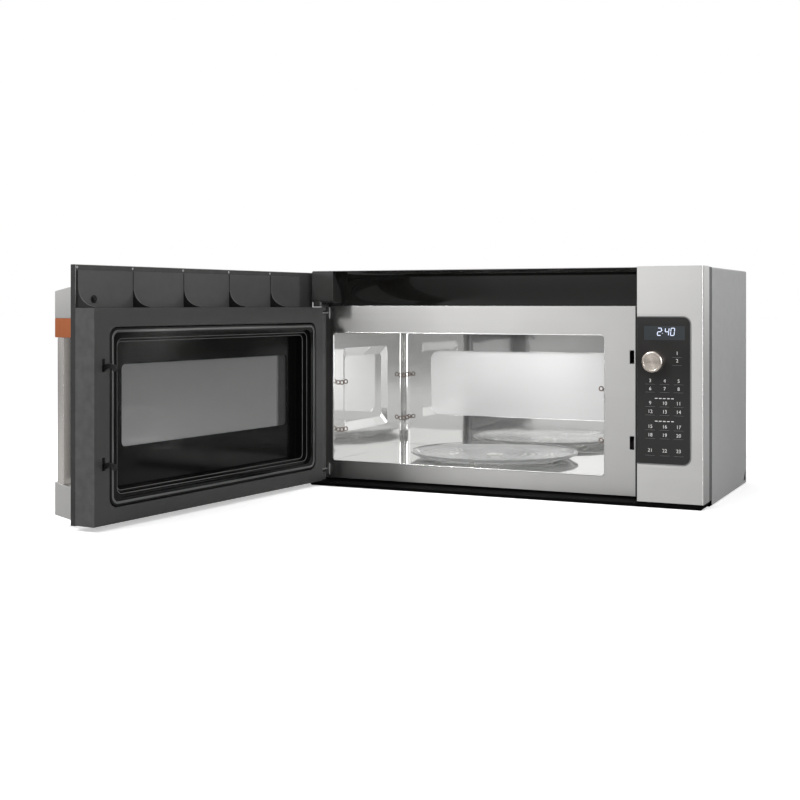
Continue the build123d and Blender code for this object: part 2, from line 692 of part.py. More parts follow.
def cavity_front_plate():
    """Brushed face of the oven with its opening and the two latch slots."""
    x0 = X_LEFT + SHEET
    x1 = X_FASCIA - FASCIA_T
    z1 = Z_SILL + FACE_H
    plate = block(x0, x1, Y_FACE, Y_FACE + FACE_T, Z_SILL, z1)
    plate -= slab_y(X_CAVITY, X_CAVITY_END, Z_CAVITY, Z_CEILING, Y_FACE - 1,
                    Y_FACE + FACE_T + 1, OPENING_R)
    for base in (HOOK_LOW, HOOK_HIGH):
        z = Z_SILL + base - SLOT_DOWN
        plate -= block(X_LEFT + SLOT_X, X_LEFT + SLOT_X + SLOT_WIDE, Y_FACE - 1,
                       Y_FACE + FACE_T + 1, z, z + SLOT_H)
    plate += block(x0, x1, Y_FACE, Y_CASE, z1 - FACE_T, z1)
    plate += block(x0, x0 + FACE_T, Y_FACE, Y_CASE + 12, Z_FLOOR + PAN_RIM + 1, z1)
    return plate


# ---------------------------------------------------------------- turntable
def glass_turntable():
    """Pressed glass tray with a raised rim and three driving lugs."""
    profile = make_face(Polyline((0, 0), (TRAY_FLAT_R, 0), (TRAY_R, TRAY_RISE),
                                 (TRAY_R, TRAY_RISE + TRAY_T - 0.5),
                                 (TRAY_R - 3, TRAY_RISE + TRAY_T - 0.5),
                                 (TRAY_FLAT_R - 2, TRAY_T), (0, TRAY_T), close=True).edges())
    tray = revolve(Plane.XZ * profile, Axis.Z)
    for i in range(3):
        lug = Pos(COUPLER_R + 4.5, 0, -2) * Box(5, 8, 4)
        tray += Rot(0, 0, 120 * i + 60) * lug
    return Pos(X_TRAY, Y_TRAY, Z_TRAY) * tray


def drive_coupler():
    """Three-lobed hub on the turntable motor's shaft."""
    height = Z_TRAY - (Z_TRACK + RUN)
    hub = Cylinder(COUPLER_R - 5, height, align=(Align.CENTER, Align.CENTER, Align.MIN))
    for i in range(3):
        arm = Pos(COUPLER_R / 2, 0, height / 2) * Box(COUPLER_R, LOBE_R, height)
        tip = Pos(COUPLER_R - 2, 0, 0) * Cylinder(LOBE_R, height, align=(Align.CENTER, Align.CENTER,
                                                                        Align.MIN))
        hub += Rot(0, 0, 120 * i) * (arm + tip)
    shaft_low = Z_TRACK - SHEET - MOTOR_H + 4
    hub = Pos(X_TRAY, Y_TRAY, Z_TRACK + RUN) * hub
    return hub + rod("z", X_TRAY, Y_TRAY, shaft_low, SHAFT_R, Z_TRACK + 1 - shaft_low)


def roller_places():
    """Angles of the three rollers about the turntable's axis."""
    return [30, 150, 270]


def roller_ring():
    """Hoop that carries the three rollers on its axle pins."""
    ring = Cylinder(RING_IN + RING_W, RING_T) - Cylinder(RING_IN, RING_T + 2)
    for angle in roller_places():
        boss = Pos(RING_IN + RING_W / 2, 0, 0) * Box(RING_W + 1, 9, RING_T + 2)
        pin_start = RING_IN + RING_W / 2
        pin_end = ROLLER_TRACK + ROLLER_W / 2 + RUN
        pin = Pos(pin_start, 0, 0) * Rot(0, 90, 0) * Cylinder(
            AXLE_R, pin_end - pin_start, align=(Align.CENTER, Align.CENTER, Align.MIN))
        head = Pos(pin_end + 0.75, 0, 0) * Box(1.5, 2 * AXLE_R + 2, 2 * AXLE_R + 2)
        ring += Rot(0, 0, angle) * (boss + pin + head)
    return Pos(X_TRAY, Y_TRAY, Z_ROLLER) * ring


def roller(angle):
    """Plastic wheel under the tray."""
    half = ROLLER_W / 2
    profile = make_face(Polyline((AXLE_R + PIN_FIT, -half), (ROLLER_R - 1, -half),
                                 (ROLLER_R, -half + 1), (ROLLER_R, half - 1),
                                 (ROLLER_R - 1, half), (AXLE_R + PIN_FIT, half),
                                 close=True).edges())
    wheel = Rot(0, 90, 0) * revolve(Plane.XZ * profile, Axis.Z)
    return Pos(X_TRAY, Y_TRAY, Z_ROLLER) * Rot(0, 0, angle) * Pos(ROLLER_TRACK, 0, 0) * wheel


def turntable_motor():
    """Flat geared motor under the oven floor."""
    z1 = Z_TRACK - SHEET
    can = rod("z", X_TRAY, Y_TRAY, z1 - MOTOR_H, MOTOR_R, MOTOR_H)
    ears = slab_z(X_TRAY - MOTOR_R - 9, X_TRAY + MOTOR_R + 9, Y_TRAY - 6, Y_TRAY + 6,
                  z1 - 1.5, z1, 5)
    box = block(X_TRAY - 9, X_TRAY + 9, Y_TRAY - MOTOR_R - 7, Y_TRAY, z1 - MOTOR_H, z1 - 3)
    bore = rod("z", X_TRAY, Y_TRAY, z1 - MOTOR_H + 3, SHAFT_R + PIN_FIT, MOTOR_H)
    return can + ears + box - bore


# ---------------------------------------------------------------- grille
def grille_curve(offset):
    """Start, middle and end of the grille's concave section."""
    y0 = Y_FACE - GRILLE_OUT
    z0 = Z_CASE - SHEET
    y1 = Y_FACE
    z1 = Z_SILL + FACE_H + GRILLE_LIP
    length = math.hypot(y1 - y0, z1 - z0)
    normal = ((z0 - z1) / length, (y1 - y0) / length)
    sag = GRILLE_BELLY
    middle = ((y0 + y1) / 2 + normal[0] * sag, (z0 + z1) / 2 + normal[1] * sag)
    return [(y + normal[0] * offset, z + normal[1] * offset)
            for y, z in ((y0, z0), middle, (y1, z1))]


def vent_grille():
    """Concave panel over the oven face, with a slotted web behind its lip."""
    a, b, c = grille_curve(0)
    back = grille_curve(GRILLE_T)
    low = Z_SILL + FACE_H
    d = (a[0] + GRILLE_T * 1.2, a[1])
    f = (Y_FACE + GRILLE_T, back[2][1])
    outline = [ThreePointArc(a, b, c), Line(c, (c[0], low)), Line((c[0], low), (f[0], low)),
               Line((f[0], low), f), ThreePointArc(f, back[1], d), Line(d, a)]
    x0 = X_LEFT + GRILLE_LEFT
    x1 = X_FASCIA - DOOR_GAP - 1.5
    grille = curved_x(outline, x0, x1)
    web = block(x0, x1, Y_FACE, Y_FACE + GRILLE_WEB - 3, low, low + GRILLE_T)
    pitch = (x1 - x0) / GRILLE_SLOTS
    for i in range(GRILLE_SLOTS):
        x = x0 + pitch * (i + 0.5)
        web -= block(x - pitch * 0.36, x + pitch * 0.36, Y_FACE + 6, Y_FACE + 12,
                     low - 1, low + GRILLE_T + 1)
    return grille + web


def grille_end_cap():
    """Rounded hollow cap beside the grille, over the upper hinge."""
    x0 = X_LEFT + 0.5
    x1 = X_LEFT + GRILLE_LEFT - 0.3
    wall = 2.0

    def outline(inset):
        y0 = Y_FACE - CAP_OUT + inset
        y1 = Y_CASE
        z0 = Z_SILL + CAP_LOW + inset
        z1 = Z_CASE - SHEET - inset
        r = CAP_R - inset
        knee = r * (1 - math.sqrt(0.5))
        return [Line((y1, z1), (y0, z1)), Line((y0, z1), (y0, z0 + r)),
                ThreePointArc((y0, z0 + r), (y0 + knee, z0 + knee), (y0 + r, z0)),
                Line((y0 + r, z0), (y1, z0)), Line((y1, z0), (y1, z1))]

    cap = curved_x(outline(0), x0, x1)
    hollow = curved_x(outline(wall), x0 + wall, x1 - wall)
    hollow += block(x0 + wall, x1 - wall, Y_CASE - 5, Y_CASE + 1,
                    Z_SILL + CAP_LOW + wall, Z_CASE - SHEET - wall)
    foot = block(x0 + 2, x1, Y_FACE + 4, Y_FACE + 10, Z_SILL + FACE_H, Z_SILL + CAP_LOW + 1)
    return cap - hollow + foot


def charcoal_filter():
    """Framed charcoal pad that stands on the grille's web."""
    x0 = X_LEFT + 200
    x1 = x0 + FILTER_BED_W
    y0 = Y_FACE + GRILLE_T + 2.2
    z0 = Z_SILL + FACE_H + GRILLE_T
    pad = slab_y(x0, x1, z0, z0 + FILTER_BED_H, y0, y0 + FILTER_BED_T, 3)
    for y in (y0 - 1, y0 + FILTER_BED_T - 1.5):
        pad -= slab_y(x0 + 6, x1 - 6, z0 + 6, z0 + FILTER_BED_H - 6, y, y + 2.5, 2)
    return pad


# ---------------------------------------------------------------- fascia
def panel_outline(grow, y0, y1):
    """Touch panel shape: rounded at the right, square at the fascia's left edge."""
    x1 = X_FASCIA + GLASS_W + grow
    z0 = Z_SILL + GLASS_LOW - grow
    z1 = Z_SILL + GLASS_LOW + GLASS_H + grow
    shape = slab_y(X_FASCIA - 40, x1, z0, z1, y0, y1, GLASS_R + grow)
    return shape & block(X_FASCIA, x1 + 1, y0 - 1, y1 + 1, z0 - 1, z1 + 1)


def control_fascia():
    """Folded stainless column front with a stepped frame round the touch panel."""
    y1 = Y_FACE - FASCIA_BACK
    shell = block(X_FASCIA, X_RIGHT, Y_FRONT, y1, Z_SILL, Z_TOP)
    front = shell.edges().filter_by(Axis.Z).group_by(Axis.Y)[0]
    shell = fillet(front.group_by(Axis.X)[-1], 3)
    shell -= block(X_FASCIA + FASCIA_T, X_RIGHT - FASCIA_T, Y_FRONT + FASCIA_T, y1 + 1,
                   Z_SILL + FASCIA_T, Z_TOP - FASCIA_T)
    shell -= panel_outline(BEVEL, Y_FRONT - 1, Y_FRONT + GLASS_IN + GLASS_T + 1)
    frame = panel_outline(BEVEL, Y_FRONT + BEVEL_IN, Y_GLASS + GLASS_T + 1.2)
    frame -= panel_outline(SEAT, Y_FRONT - 1, Y_GLASS + GLASS_T)
    frame -= panel_outline(-3, Y_FRONT - 1, Y_GLASS + GLASS_T + 3)
    return shell + frame


def touch_panel():
    """Dark glass with a hole for the dial's shaft."""
    glass = panel_outline(0, Y_GLASS, Y_GLASS + GLASS_T)
    return glass - rod("y", X_DIAL, Y_GLASS - 1, Z_DIAL, PLUNGER_R + 3, GLASS_T + 2)


def display_module():
    """Display behind the glass, carried by the control board."""
    x0 = X_FASCIA + WINDOW_X
    z0 = Z_SILL + WINDOW_LOW
    y0 = Y_GLASS + GLASS_T
    body = block(x0, x0 + WINDOW_W, y0, y0 + 9, z0, z0 + WINDOW_H)
    for x in (x0 + 4, x0 + WINDOW_W - 8):
        body += block(x, x + 4, y0 + 8, Y_BOARD, z0 + 4, z0 + WINDOW_H - 4)
    return body


def board_place():
    """Left and lower edges of the control board."""
    return X_FASCIA + (FASCIA_WIDTH - BOARD_W) / 2, Z_SILL + BOARD_LOW


def control_board():
    """Circuit board with relays, capacitors and connectors."""
    x0, z0 = board_place()
    board = block(x0, x0 + BOARD_W, Y_BOARD, Y_BOARD + BOARD_T, z0, z0 + BOARD_H)
    rear = Y_BOARD + BOARD_T
    for i in range(3):
        board += block(x0 + 14 + 24 * i, x0 + 32 + 24 * i, rear, rear + 11, z0 + 30, z0 + 46)
        board += rod("y", x0 + 20 + 22 * i, rear, z0 + 80, 6, 10)
    for i in range(4):
        board += block(x0 + 10 + 20 * i, x0 + 24 + 20 * i, rear, rear + 8,
                       z0 + BOARD_H - 28, z0 + BOARD_H - 20)
    board += block(x0 + 20, x0 + 60, rear, rear + 3, z0 + 140, z0 + 160)
    return board


def dial_encoder():
    """Rotary encoder with a bushing that guides the push sleeve."""
    y1 = Y_BOARD
    body = block(X_DIAL - 8, X_DIAL + 8, y1 - 14, y1, Z_DIAL - 8, Z_DIAL + 8)
    bush_start = Y_GLASS + GLASS_T - 0.5
    body += rod("y", X_DIAL, bush_start, Z_DIAL, PLUNGER_R + 2.3, y1 - 14 - bush_start)
    body -= rod("y", X_DIAL, bush_start - 1, Z_DIAL, PLUNGER_R + PIN_FIT, y1 - 1 - bush_start)
    return body


def dial_plunger():
    """Push sleeve that carries the dial."""
    y0 = Y_GLASS + GLASS_T - 1.5
    y1 = Y_BOARD - 2 - PRESS - RUN - 1
    sleeve = rod("y", X_DIAL, y0, Z_DIAL, PLUNGER_R, y1 - y0)
    bore = y1 - y0 - 1 + RUN
    return sleeve - rod("y", X_DIAL, y0 - 1, Z_DIAL, DIAL_SHAFT_R + PIN_FIT, bore)


def dial_knob():
    """Metal dial with a rounded face, a knurled rim and its shaft."""
    back = Y_GLASS - DIAL_GAP
    profile = make_face(Polyline((0, 0), (DIAL_R - 1.5, 0), (DIAL_R, 1.5),
                                 (DIAL_R, DIAL_H - 2), (DIAL_R - 1.2, DIAL_H - 0.6),
                                 (DIAL_R - 3, DIAL_H), (0, DIAL_H), close=True).edges())
    knob = Rot(90, 0, 0) * revolve(Plane.XZ * profile, Axis.Z)
    knob = Pos(X_DIAL, back, Z_DIAL) * knob
    end = Y_BOARD - 2 - PRESS - RUN - 3
    return knob + rod("y", X_DIAL, back - 2, Z_DIAL, DIAL_SHAFT_R, end - back + 2)


def control_chassis():
    """Carrier behind the fascia with the board's standoffs."""
    x0 = X_FASCIA - 0.8
    x1 = X_RIGHT - 0.5
    y0 = Y_FACE - FASCIA_BACK
    wall = 2.5
    frame = block(x0, x1, y0, Y_CASE, Z_SILL, Z_CASE)
    frame -= block(x0 + wall, x1 - wall, y0 + wall, Y_CASE + 1, Z_SILL + wall, Z_CASE - wall)
    frame -= slab_y(x0 + 22, x1 - 22, Z_SILL + 60, Z_SILL + 190, y0 - 1, y0 + wall + 1, 6)
    frame -= slab_y(x0 + 22, x1 - 22, Z_SILL + 210, Z_TOP - 64, y0 - 1, y0 + wall + 1, 6)
    bx, bz = board_place()
    for x in (bx + 4, bx + BOARD_W - 4):
        for z in (bz + 4, bz + BOARD_H - 4):
            frame += rod("y", x, Y_BOARD + BOARD_T, z, 3.5, y0 - Y_BOARD - BOARD_T + 1)
    return frame


# ---------------------------------------------------------------- hinge
def hinge_brackets():
    """Two steel arms on the oven face, each with a pin for the door."""
    brackets = None
    for base, up in ((HINGE_HIGH, -1), (HINGE_LOW, 1)):
        z = Z_SILL + base
        arm = block(X_HINGE - HINGE_ARM + 1, X_HINGE + HINGE_ARM, Y_HINGE, Y_FACE, z, z + HINGE_T)
        arm += rod("z", X_HINGE, Y_HINGE, z, HINGE_ARM, HINGE_T)
        arm += block(X_HINGE - HINGE_ARM + 1, X_HINGE + HINGE_ARM + 5, Y_FACE - HINGE_T, Y_FACE,
                     z - 10, z + 12)
        pin_z = z + HINGE_T - 0.5 if up > 0 else z - HINGE_PIN
        arm += rod("z", X_HINGE, Y_HINGE, pin_z, HINGE_PIN_R, HINGE_PIN + 0.5)
        brackets = arm if brackets is None else brackets + arm
    return brackets


def hinge_notches():
    """Spaces in the door that clear the hinge arms, and the bores for the pins."""
    notches = None
    reach = HINGE_ARM + 1.5
    for base, up in ((HINGE_HIGH, -1), (HINGE_LOW, 1)):
        z = Z_SILL + base
        z0 = z - (NOTCH_DOWN if up < 0 else NOTCH_UP)
        z1 = z + HINGE_T + (NOTCH_UP if up < 0 else NOTCH_DOWN)
        notch = block(X_LEFT - 5, X_HINGE + reach, Y_HINGE - reach - 2.5, Y_FACE + 5, z0, z1)
        bore_z = z0 - HINGE_PIN if up < 0 else z1 - 1
        notch += rod("z", X_HINGE, Y_HINGE, bore_z, HINGE_PIN_R + PIN_FIT, HINGE_PIN + 1)
        notches = notch if notches is None else notches + notch
    return notches


# ---------------------------------------------------------------- door
def door_skin():
    """Stainless front of the door with folded edges and a window opening."""
    y1 = Y_FRONT + RETURN
    skin = block(X_DOOR, X_DOOR_END, Y_FRONT, y1, Z_DOOR, Z_DOOR_TOP)
    skin = fillet(skin.edges().filter_by(Axis.Z).group_by(Axis.Y)[0], 2)
    skin -= block(X_DOOR + SKIN_T, X_DOOR_END - SKIN_T, Y_FRONT + SKIN_T, y1 + 1,
                  Z_DOOR + SKIN_T, Z_DOOR_TOP - SKIN_T)
    skin -= slab_y(X_LEFT + OUTER_LEFT - SEAT, X_LEFT + OUTER_RIGHT + SEAT,
                   Z_SILL + OUTER_LOW - SEAT, Z_SILL + OUTER_HIGH + SEAT,
                   Y_FRONT - 1, Y_FRONT + SKIN_T + 1, 8)
    return swing(skin)


def latch_slots(y0, y1):
    """Slots for the two hooks, with room for their lift."""
    slots = None
    for base in (HOOK_LOW, HOOK_HIGH):
        z = Z_SILL + base
        slot = block(X_LEFT + HOOK_X - 1.5, X_LEFT + HOOK_X + HOOK_T + 1.5, y0, y1,
                     z - 1.5, z + 13 + LATCH_LIFT + 1.5)
        slots = slot if slots is None else slots + slot
    return slots


def door_frame():
    """Moulded door body: ring round the window, top flange, pockets and channel."""
    x0 = X_DOOR + SKIN_T + SEAT
    x1 = X_DOOR_END - SKIN_T
    y0 = Y_FRONT + SKIN_T
    y1 = Y_INNER - COVER_T
    z0 = Z_DOOR + SKIN_T
    body = block(x0, x1, y0, y1, z0, Z_LEDGE)
    body += block(X_LEFT + COVER_LEFT + 1, x1, y1, Y_INNER - 1, z0, Z_SILL + 0.8)
    body += block(x1 - 0.8, x1 + SKIN_T, Y_FRONT + RETURN, Y_INNER, z0, Z_LEDGE)
    body += block(x0, x1, y0, Y_FLANGE, Z_LEDGE, Z_DOOR_TOP - SKIN_T)
    screen_y = Y_INNER - WELL - 2 - PANE_T - SCREEN_T
    glass_y = Y_FRONT + OUTER_T
    body -= slab_y(X_LEFT + GROOVE_LEFT, X_LEFT + GROOVE_RIGHT, Z_SILL + GROOVE_LOW,
                   Z_SILL + GROOVE_HIGH, screen_y, Y_INNER + 1, GROOVE_R)
    body -= slab_y(X_LEFT + OUTER_LEFT + 11, X_LEFT + OUTER_RIGHT - 11,
                   Z_SILL + OUTER_LOW + 11, Z_SILL + OUTER_HIGH - 11, y0 - 1, screen_y + 1, 8)
    body -= slab_y(X_LEFT + OUTER_LEFT - SEAT, X_LEFT + OUTER_RIGHT + SEAT,
                   Z_SILL + OUTER_LOW - SEAT, Z_SILL + OUTER_HIGH + SEAT, y0 - 1, glass_y, 8)
    pocket = y1 - 4
    body -= block(X_LEFT + CHANNEL_LEFT, X_LEFT + CHANNEL_RIGHT, y0 - 1, pocket,
                  Z_SILL + 20, Z_LEDGE - 13)
    body -= block(X_LEFT + HINGE_X + HINGE_ARM + 5, X_LEFT + GROOVE_LEFT - 3, y0 - 1, pocket,
                  Z_SILL + 30, Z_SILL + GROOVE_HIGH - 3.4)
    body -= block(X_LEFT + GROOVE_LEFT, X_LEFT + OUTER_RIGHT, y0 - 1, pocket,
                  Z_SILL + GROOVE_HIGH + 4, Z_LEDGE - 4)
    body -= block(X_LEFT + GROOVE_LEFT, X_LEFT + OUTER_RIGHT, y0 - 1, pocket,
                  Z_SILL + 3, Z_SILL + GROOVE_LOW - 3)
    body -= block(x0 + 30, x1 - 20, y0 - 1, Y_FLANGE - 3, Z_LEDGE + 8, Z_DOOR_TOP - 8)
    for z in (Z_SILL + HOOK_LOW + BAR_WEB + 13, Z_SILL + HOOK_HIGH - BAR_WEB_OVER - 21):
        body += block(X_LEFT + CHANNEL_LEFT - 1, X_LEFT + CHANNEL_RIGHT + 1,
                      pocket - RUN - LATCH_BAR_T - RUN - 4, pocket - RUN - LATCH_BAR_T - RUN,
                      z - 5, z + 5)
    body -= latch_slots(pocket - 1, Y_INNER + 1)
    body -= hinge_notches()
    return swing(body)


def scoop_curve(inset):
    """Start, middle and end of an air scoop's curved section."""
    y0 = Y_FLANGE
    z0 = Z_SILL + SCOOP_TOP
    y1 = Y_INNER - 1.5
    z1 = Z_LEDGE + 4.5
    length = math.hypot(y1 - y0, z1 - z0)
    normal = (-(z0 - z1) / length, -(y1 - y0) / length)
    middle = ((y0 + y1) / 2 - normal[0] * SCOOP_BELLY * -1, (z0 + z1) / 2
              - normal[1] * SCOOP_BELLY * -1)
    points = [(y0, z0), middle, (y1, z1)]
    return [(y + normal[0] * inset, z + normal[1] * inset) for y, z in points]


def door_air_guide():
    """Row of curved air scoops on the door's top flange, parted by thin ribs."""
    x_end = X_LEFT + RIB_LAST + RIB_T / 2
    x0 = X_LEFT + GRILLE_LEFT + 2
    a, b, c = scoop_curve(0)
    d, e, f = scoop_curve(SCOOP_T)
    d = (Y_FLANGE, d[1])
    panel = curved_x([ThreePointArc(a, b, c), Line(c, (c[0], f[1] - SCOOP_T)),
                      Line((c[0], f[1] - SCOOP_T), f), ThreePointArc(f, e, d),
                      Line(d, a)], x0, x_end)
    foot = block(x0, x_end, Y_FLANGE, Y_INNER - 1.5, Z_LEDGE, Z_LEDGE + 2)
    rib_section = [Line((Y_FLANGE, Z_LEDGE), (Y_FLANGE, a[1])),
                   ThreePointArc(a, (b[0] + 1.2, b[1] + 1.2), (c[0] + 0.5, c[1])),
                   Line((c[0] + 0.5, c[1]), (c[0] + 0.5, Z_LEDGE)),
                   Line((c[0] + 0.5, Z_LEDGE), (Y_FLANGE, Z_LEDGE))]
    guide = panel + foot
    for i in range(RIB_COUNT):
        x = X_LEFT + RIB_LAST - RIB_PITCH * i
        cut = rod("y", x - SCOOP_CUT, Y_FLANGE + 1, Z_LEDGE + SCOOP_CUT, SCOOP_CUT, 60)
        corner = block(x - SCOOP_CUT, x, Y_FLANGE + 1, Y_FACE, Z_LEDGE + 2, Z_LEDGE + SCOOP_CUT)
        if x - SCOOP_CUT > x0 + RIB_T:
            guide -= corner - cut
    for i in range(RIB_COUNT):
        x = X_LEFT + RIB_LAST - RIB_PITCH * i
        guide += curved_x(rib_section, x - RIB_T / 2, x + RIB_T / 2)
    guide += curved_x(rib_section, x0, x0 + RIB_T)
    return swing(guide)


def choke_cover():
    """Dark inner cover of the door round the window surround."""
    x0 = X_LEFT + COVER_LEFT
    x1 = X_DOOR_END - SKIN_T - 0.8
    cover = slab_y(x0, x1, Z_SILL + 0.8, Z_LEDGE, Y_INNER - COVER_T, Y_INNER, 3)
    cover -= slab_y(X_LEFT + GROOVE_LEFT, X_LEFT + GROOVE_RIGHT, Z_SILL + GROOVE_LOW,
                    Z_SILL + GROOVE_HIGH, Y_INNER - COVER_T - 1, Y_INNER + 1, GROOVE_R)
    cover -= latch_slots(Y_INNER - COVER_T - 1, Y_INNER + 1)
    return swing(cover)


def window_surround():
    """Black stepped well round the window, with a rounded rim."""
    x0 = X_LEFT + GROOVE_LEFT + GROOVE_GAP
    x1 = X_LEFT + GROOVE_RIGHT - GROOVE_GAP
    z0 = Z_SILL + GROOVE_LOW + GROOVE_GAP
    z1 = Z_SILL + GROOVE_HIGH - GROOVE_GAP
    y0 = Y_INNER - WELL - 2
    well = slab_y(x0, x1, z0, z1, y0, Y_INNER, GROOVE_R - GROOVE_GAP)
    well = fillet(well.faces().sort_by(Axis.Y)[-1].edges(), 2)
    for i in range(3):
        inset = BEAD + STEP * i
        depth = WELL if i == 2 else STEP_DEPTH * (i + 1)
        well -= slab_y(x0 + inset, x1 - inset, z0 + inset * 0.8, z1 - inset * 0.8,
                       Y_INNER - depth, Y_INNER + 1, GROOVE_R - 2 * i)
    well -= slab_y(X_LEFT + VIEW_LEFT, X_LEFT + VIEW_RIGHT, Z_SILL + VIEW_LOW,
                   Z_SILL + VIEW_HIGH, y0 - 1, Y_INNER, VIEW_R)
    return swing(well)


def door_inner_glass():
    """Clear pane behind the surround."""
    y1 = Y_INNER - WELL - 2
    pane = slab_y(X_LEFT + VIEW_LEFT - 16, X_LEFT + VIEW_RIGHT + 16, Z_SILL + VIEW_LOW - 16,
                  Z_SILL + VIEW_HIGH + 16, y1 - PANE_T, y1, 6)
    return swing(pane)


def window_screen():
    """Perforated steel screen, seated on the ledge of the door frame."""
    y1 = Y_INNER - WELL - 2 - PANE_T
    screen = slab_y(X_LEFT + GROOVE_LEFT + SEAT, X_LEFT + GROOVE_RIGHT - SEAT,
                    Z_SILL + GROOVE_LOW + SEAT, Z_SILL + GROOVE_HIGH - SEAT,
                    y1 - SCREEN_T, y1, GROOVE_R - SEAT)
    return swing(screen)


def door_outer_glass():
    """Front glass, flush with the door skin."""
    glass = slab_y(X_LEFT + OUTER_LEFT, X_LEFT + OUTER_RIGHT, Z_SILL + OUTER_LOW,
                   Z_SILL + OUTER_HIGH, Y_FRONT, Y_FRONT + OUTER_T, 7.8)
    return swing(glass)


# ---------------------------------------------------------------- handle
def handle_sides():
    """Left and right sides of the handle on the closed door."""
    x1 = X_DOOR_END - HANDLE_IN
    return x1 - HANDLE_W, x1


def handle_mounts():
    """Two tapered end mounts of the handle."""
    x0, x1 = handle_sides()
    out = Y_FRONT - HANDLE_OUT
    top = prism_x([(Y_FRONT, Z_SILL + MOUNT_TOP), (out, Z_SILL + MOUNT_TOP_OUT),
                   (out, Z_SILL + BAND_TOP), (Y_FRONT, Z_SILL + BAND_TOP)], x0, x1)
    foot = prism_x([(Y_FRONT, Z_SILL + FOOT_TOP), (out, Z_SILL + FOOT_TOP_OUT),
                    (out, Z_SILL + FOOT_LOW + 7), (Y_FRONT, Z_SILL + FOOT_LOW)], x0, x1)
    top = fillet(top.edges().filter_by(Axis.Z).group_by(Axis.Y)[0], 3)
    foot = fillet(foot.edges().filter_by(Axis.Z).group_by(Axis.Y)[0], 3)
    return swing(top + foot)


def handle_band():
    """Coloured block between the upper mount and the bar."""
    x0, x1 = handle_sides()
    band = block(x0, x1, Y_FRONT - HANDLE_OUT, Y_FRONT, Z_SILL + BAND_LOW, Z_SILL + BAND_TOP)
    band = fillet(band.edges().filter_by(Axis.Z).group_by(Axis.Y)[0], 3)
    return swing(band)


def handle_bar():
    """Rounded upright bar, held between the band and the lower mount."""
    x0, x1 = handle_sides()
    y0 = Y_FRONT - HANDLE_OUT + BAR_SET
    z0 = Z_SILL + FOOT_TOP
    bar = slab_z(x0 + 0.5, x1 - 0.5, y0, y0 + BAR_T, z0, Z_SILL + BAND_LOW, BAR_R)
    foot = prism_x([(Y_FRONT, Z_SILL + FOOT_TOP), (Y_FRONT - HANDLE_OUT, Z_SILL + FOOT_TOP_OUT),
                    (Y_FRONT - HANDLE_OUT, Z_SILL), (Y_FRONT, Z_SILL)], x0 - 1, x1 + 1)
    return swing(bar - foot)


# ---------------------------------------------------------------- latch
def latch_bar():
    """Sliding bar inside the door with two hooks that reach into the oven face."""
    pocket = Y_INNER - COVER_T - 4
    y1 = pocket - RUN
    bar = block(X_LEFT + CHANNEL_LEFT + RUN, X_LEFT + CHANNEL_RIGHT - RUN, y1 - LATCH_BAR_T, y1,
                Z_SILL + HOOK_LOW - BAR_UNDER, Z_SILL + HOOK_HIGH + BAR_OVER)
    bar -= slab_y(X_LEFT + CHANNEL_LEFT + 7, X_LEFT + CHANNEL_RIGHT - 7,
                  Z_SILL + HOOK_LOW + BAR_WEB, Z_SILL + HOOK_HIGH - BAR_WEB_OVER,
                  y1 - LATCH_BAR_T - 1, y1 + 1, 4)
    tip = Y_INNER + HOOK_OUT
    x0 = X_LEFT + HOOK_X
    for base in (HOOK_LOW, HOOK_HIGH):
        z = Z_SILL + base
        hook = prism_x([(y1 - 2, z), (tip - 27, z), (tip - 17, z + 5), (tip - 10, z + 5),
                        (tip - 9, z + 0.5), (tip - 6, z), (tip, z + 4.5), (tip - 4, z + 10),
                        (tip - 18, z + 12), (tip - 29, z + 9), (y1 - 2, z + 9)],
                       x0, x0 + HOOK_T)
        bar += hook
    return swing(bar)


def lever_axis():
    """Y and Z of the interlock lever's pivot."""
    return Y_FACE + 36, Z_SILL + HOOK_LOW - 22


def latch_board():
    """Moulded carrier behind the oven face with the hooks' channels."""
    x0 = X_LEFT + BOARD_LEFT
    x1 = X_LEFT + BOARD_RIGHT
    y0 = Y_FACE + FACE_T
    y1 = Y_FACE + BOARD_DEEP
    board = block(x0, x1, y0, y1, Z_SILL + HOOK_LOW - BOARD_UNDER,
                  Z_SILL + HOOK_HIGH + BOARD_OVER)
    cx0 = X_LEFT + SLOT_X - 1
    cx1 = X_LEFT + SLOT_X + SLOT_WIDE + 1
    for base in (HOOK_LOW, HOOK_HIGH):
        z = Z_SILL + base - SLOT_DOWN - 1.4
        deep = y1 - 4 if base == HOOK_LOW else Y_FACE + HOOK_OUT + 4
        board -= block(cx0, cx1, y0 - 1, deep, z, z + SLOT_H + 2.8)
        board += block(cx0 - 1, cx1 + 1, Y_FACE + 7, Y_FACE + 13, z - 1, Z_SILL + base - 0.5)
    board -= block(cx0, cx1, Y_FACE + HOOK_OUT - INNER + 0.8, y1 - 4,
                   Z_SILL + HOOK_LOW - BOARD_UNDER + 8,
                   Z_SILL + HOOK_LOW + 15)
    board -= block(x0 + 3, x1 - 3, y0 + 3, y1 + 1, Z_SILL + HOOK_LOW + BAR_WEB + 6,
                   Z_SILL + HOOK_HIGH - BAR_WEB_OVER - 4)
    y, z = lever_axis()
    return board + rod("x", cx0 - 1, y, z, 2.0, cx1 - cx0 + 2)


